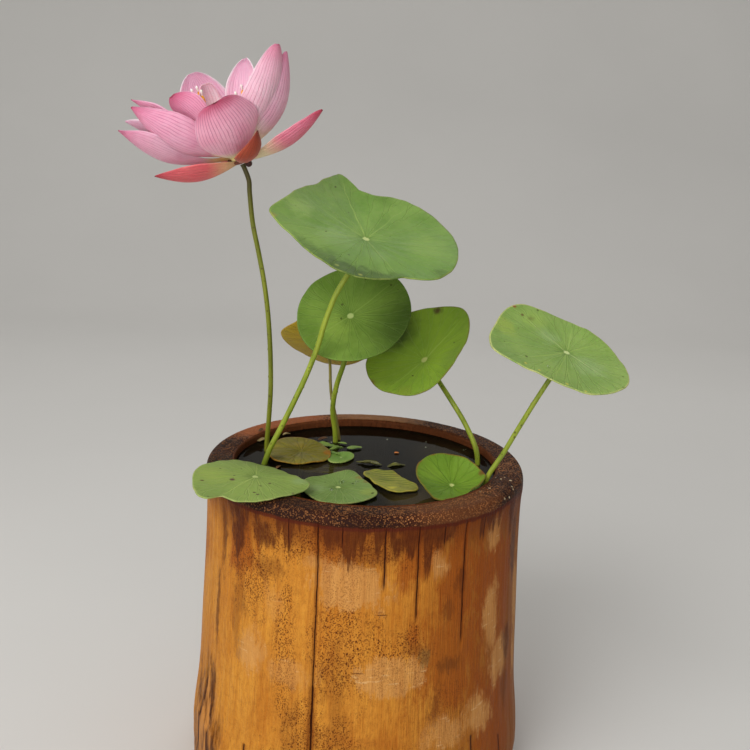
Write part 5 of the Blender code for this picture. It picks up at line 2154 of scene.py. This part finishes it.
@dataclass
class Studio:
    """The floor, the light and the camera."""

    lens: float = 48.0
    eye: tuple[float, float, float] = (0.0, -489.5, 332.7)
    heading: float = 0.36       # degrees to the right of straight ahead
    pitch: float = -14.21
    roll: float = 2.43
    floor_width: float = 6000.0
    floor_front: float = 1100.0         # how far it reaches in front of the plant
    floor_flat: float = 2200.0          # from its front to where it starts to rise
    floor_bend: float = 900.0           # radius of its rise
    floor_run: float = 4200.0           # its whole length along its curve

    def build(self) -> None:
        """Sets up everything round the plant."""
        self.build_floor()
        self.build_light()
        self.build_camera()

    def build_floor(self) -> None:
        """Lays a pale floor that rises in a wide curve behind the plant."""
        flat, bend = self.floor_flat, self.floor_bend

        def shape(across: Array, along: Array) -> Array:
            """Shapes the floor and its rise.

            Args:
                across: shares across the grid.
                along: shares along it.

            Returns:
                Their places in millimetres.
            """
            run = along * self.floor_run
            turn = np.clip((run - flat) / bend, 0.0, math.pi / 2)
            y = np.where(run < flat, run, flat + bend * np.sin(turn)) - self.floor_front
            z = np.where(run < flat, 0.0, bend * (1.0 - np.cos(turn)))
            z = z + np.maximum(run - flat - bend * math.pi / 2, 0.0)
            return np.stack([(across - 0.5) * self.floor_width, y, z - 0.1], axis=1)

        floor = add_sheet("studio_floor", 8, 120, shape)
        coat = Coat("studio_floor", {"Roughness": 0.85})
        floor.data.materials.append(coat.finished(
            coat.mix(coat.noise(3.0), (206, 204, 200), (214, 212, 208))))

    def build_light(self) -> None:
        """Hangs soft lamps: a strong one to the front left, a weak one in front and one behind."""
        for name, place, size, power in (
                ("key_light", (-0.7, -0.95, 1.15), 1.0, 14.5),
                ("fill_light", (-0.25, -1.3, 0.3), 1.2, 7.0),
                ("back_light", (0.3, 1.0, 1.2), 0.8, 2.5)):
            lamp = bpy.data.objects.new(name, bpy.data.lights.new(name, "AREA"))
            lamp.data.shape = "DISK"
            lamp.data.size = size
            lamp.data.energy = power
            lamp.location = place
            aim = Vector((0.0, 0.0, 0.2)) - Vector(place)
            lamp.rotation_euler = aim.to_track_quat("-Z", "Y").to_euler()
            bpy.context.scene.collection.objects.link(lamp)
        world = bpy.data.worlds.new("studio")
        world.use_nodes = True
        glow = world.node_tree.nodes["Background"].inputs
        glow["Color"].default_value = (1.0, 0.99, 0.97, 1.0)
        glow["Strength"].default_value = 0.45
        bpy.context.scene.world = world
        bpy.context.scene.view_settings.view_transform = "Standard"

    def build_camera(self) -> None:
        """Stands the camera where the photograph was taken from."""
        camera = bpy.data.objects.new("camera", bpy.data.cameras.new("camera"))
        camera.data.lens = self.lens
        camera.data.sensor_width = 36.0
        camera.data.clip_start = 0.01
        heading, pitch, roll = (math.radians(value) for value in
                                (self.heading, self.pitch, self.roll))
        ahead = Vector((math.sin(heading) * math.cos(pitch),
                        math.cos(heading) * math.cos(pitch), math.sin(pitch)))
        level = Vector((math.cos(heading), -math.sin(heading), 0.0))
        down = ahead.cross(level)
        right = level * math.cos(roll) - down * math.sin(roll)
        lower = level * math.sin(roll) + down * math.cos(roll)
        stand = Matrix((right, -lower, -ahead)).transposed().to_4x4()
        stand.translation = Vector(self.eye) * MM
        camera.matrix_world = stand
        bpy.context.scene.collection.objects.link(camera)
        bpy.context.scene.camera = camera


def stalk_materials() -> dict[str, Material]:
    """The stalks' materials: fresh for most, ochre for the ageing leaf's.

    Returns:
        A material for each kind of stalk.
    """
    along = (1.0, 1.0, 0.12)
    fresh = {"light": (146, 158, 48), "dark": (114, 130, 32), "speck": (80, 74, 26),
             "speck_share": 0.1, "scale": 220.0, "stretch": along, "roughness": 0.42,
             "subsurface": 0.06}
    ochre = fresh | {"light": (146, 138, 58), "dark": (118, 108, 44)}
    bloom = fresh | {"light": (126, 132, 34), "dark": (96, 102, 22),
                     "high": (66, 60, 22), "high_from": 0.262, "high_to": 0.308}
    return {name: PlainFinish(**finish).material("stalk_" + name)
            for name, finish in (("fresh", fresh), ("ochre", ochre), ("bloom", bloom))}


def main() -> None:
    """Builds the plant, its pot and the studio, in that order."""
    logging.basicConfig(level=logging.INFO, format="%(message)s")
    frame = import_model()
    BambooPot().build()
    Pond().build(frame)
    forms = {leaf.name: leaf.build(frame) for leaf in LEAVES}
    skins = stalk_materials()
    for node in sorted(frame["nodes"]):
        if node.endswith("_stalk"):
            kind = {"yellow_leaf_stalk": "ochre", "flower_stalk": "bloom"}.get(node, "fresh")
            Stalk(node, skins[kind]).build(frame)
    Bloom(petals=PETALS).build()
    things = SmallThings()
    things.build_drops(forms)
    things.build_bubbles()
    things.build_scraps()
    Studio().build()


if __name__ == "__main__":
    main()
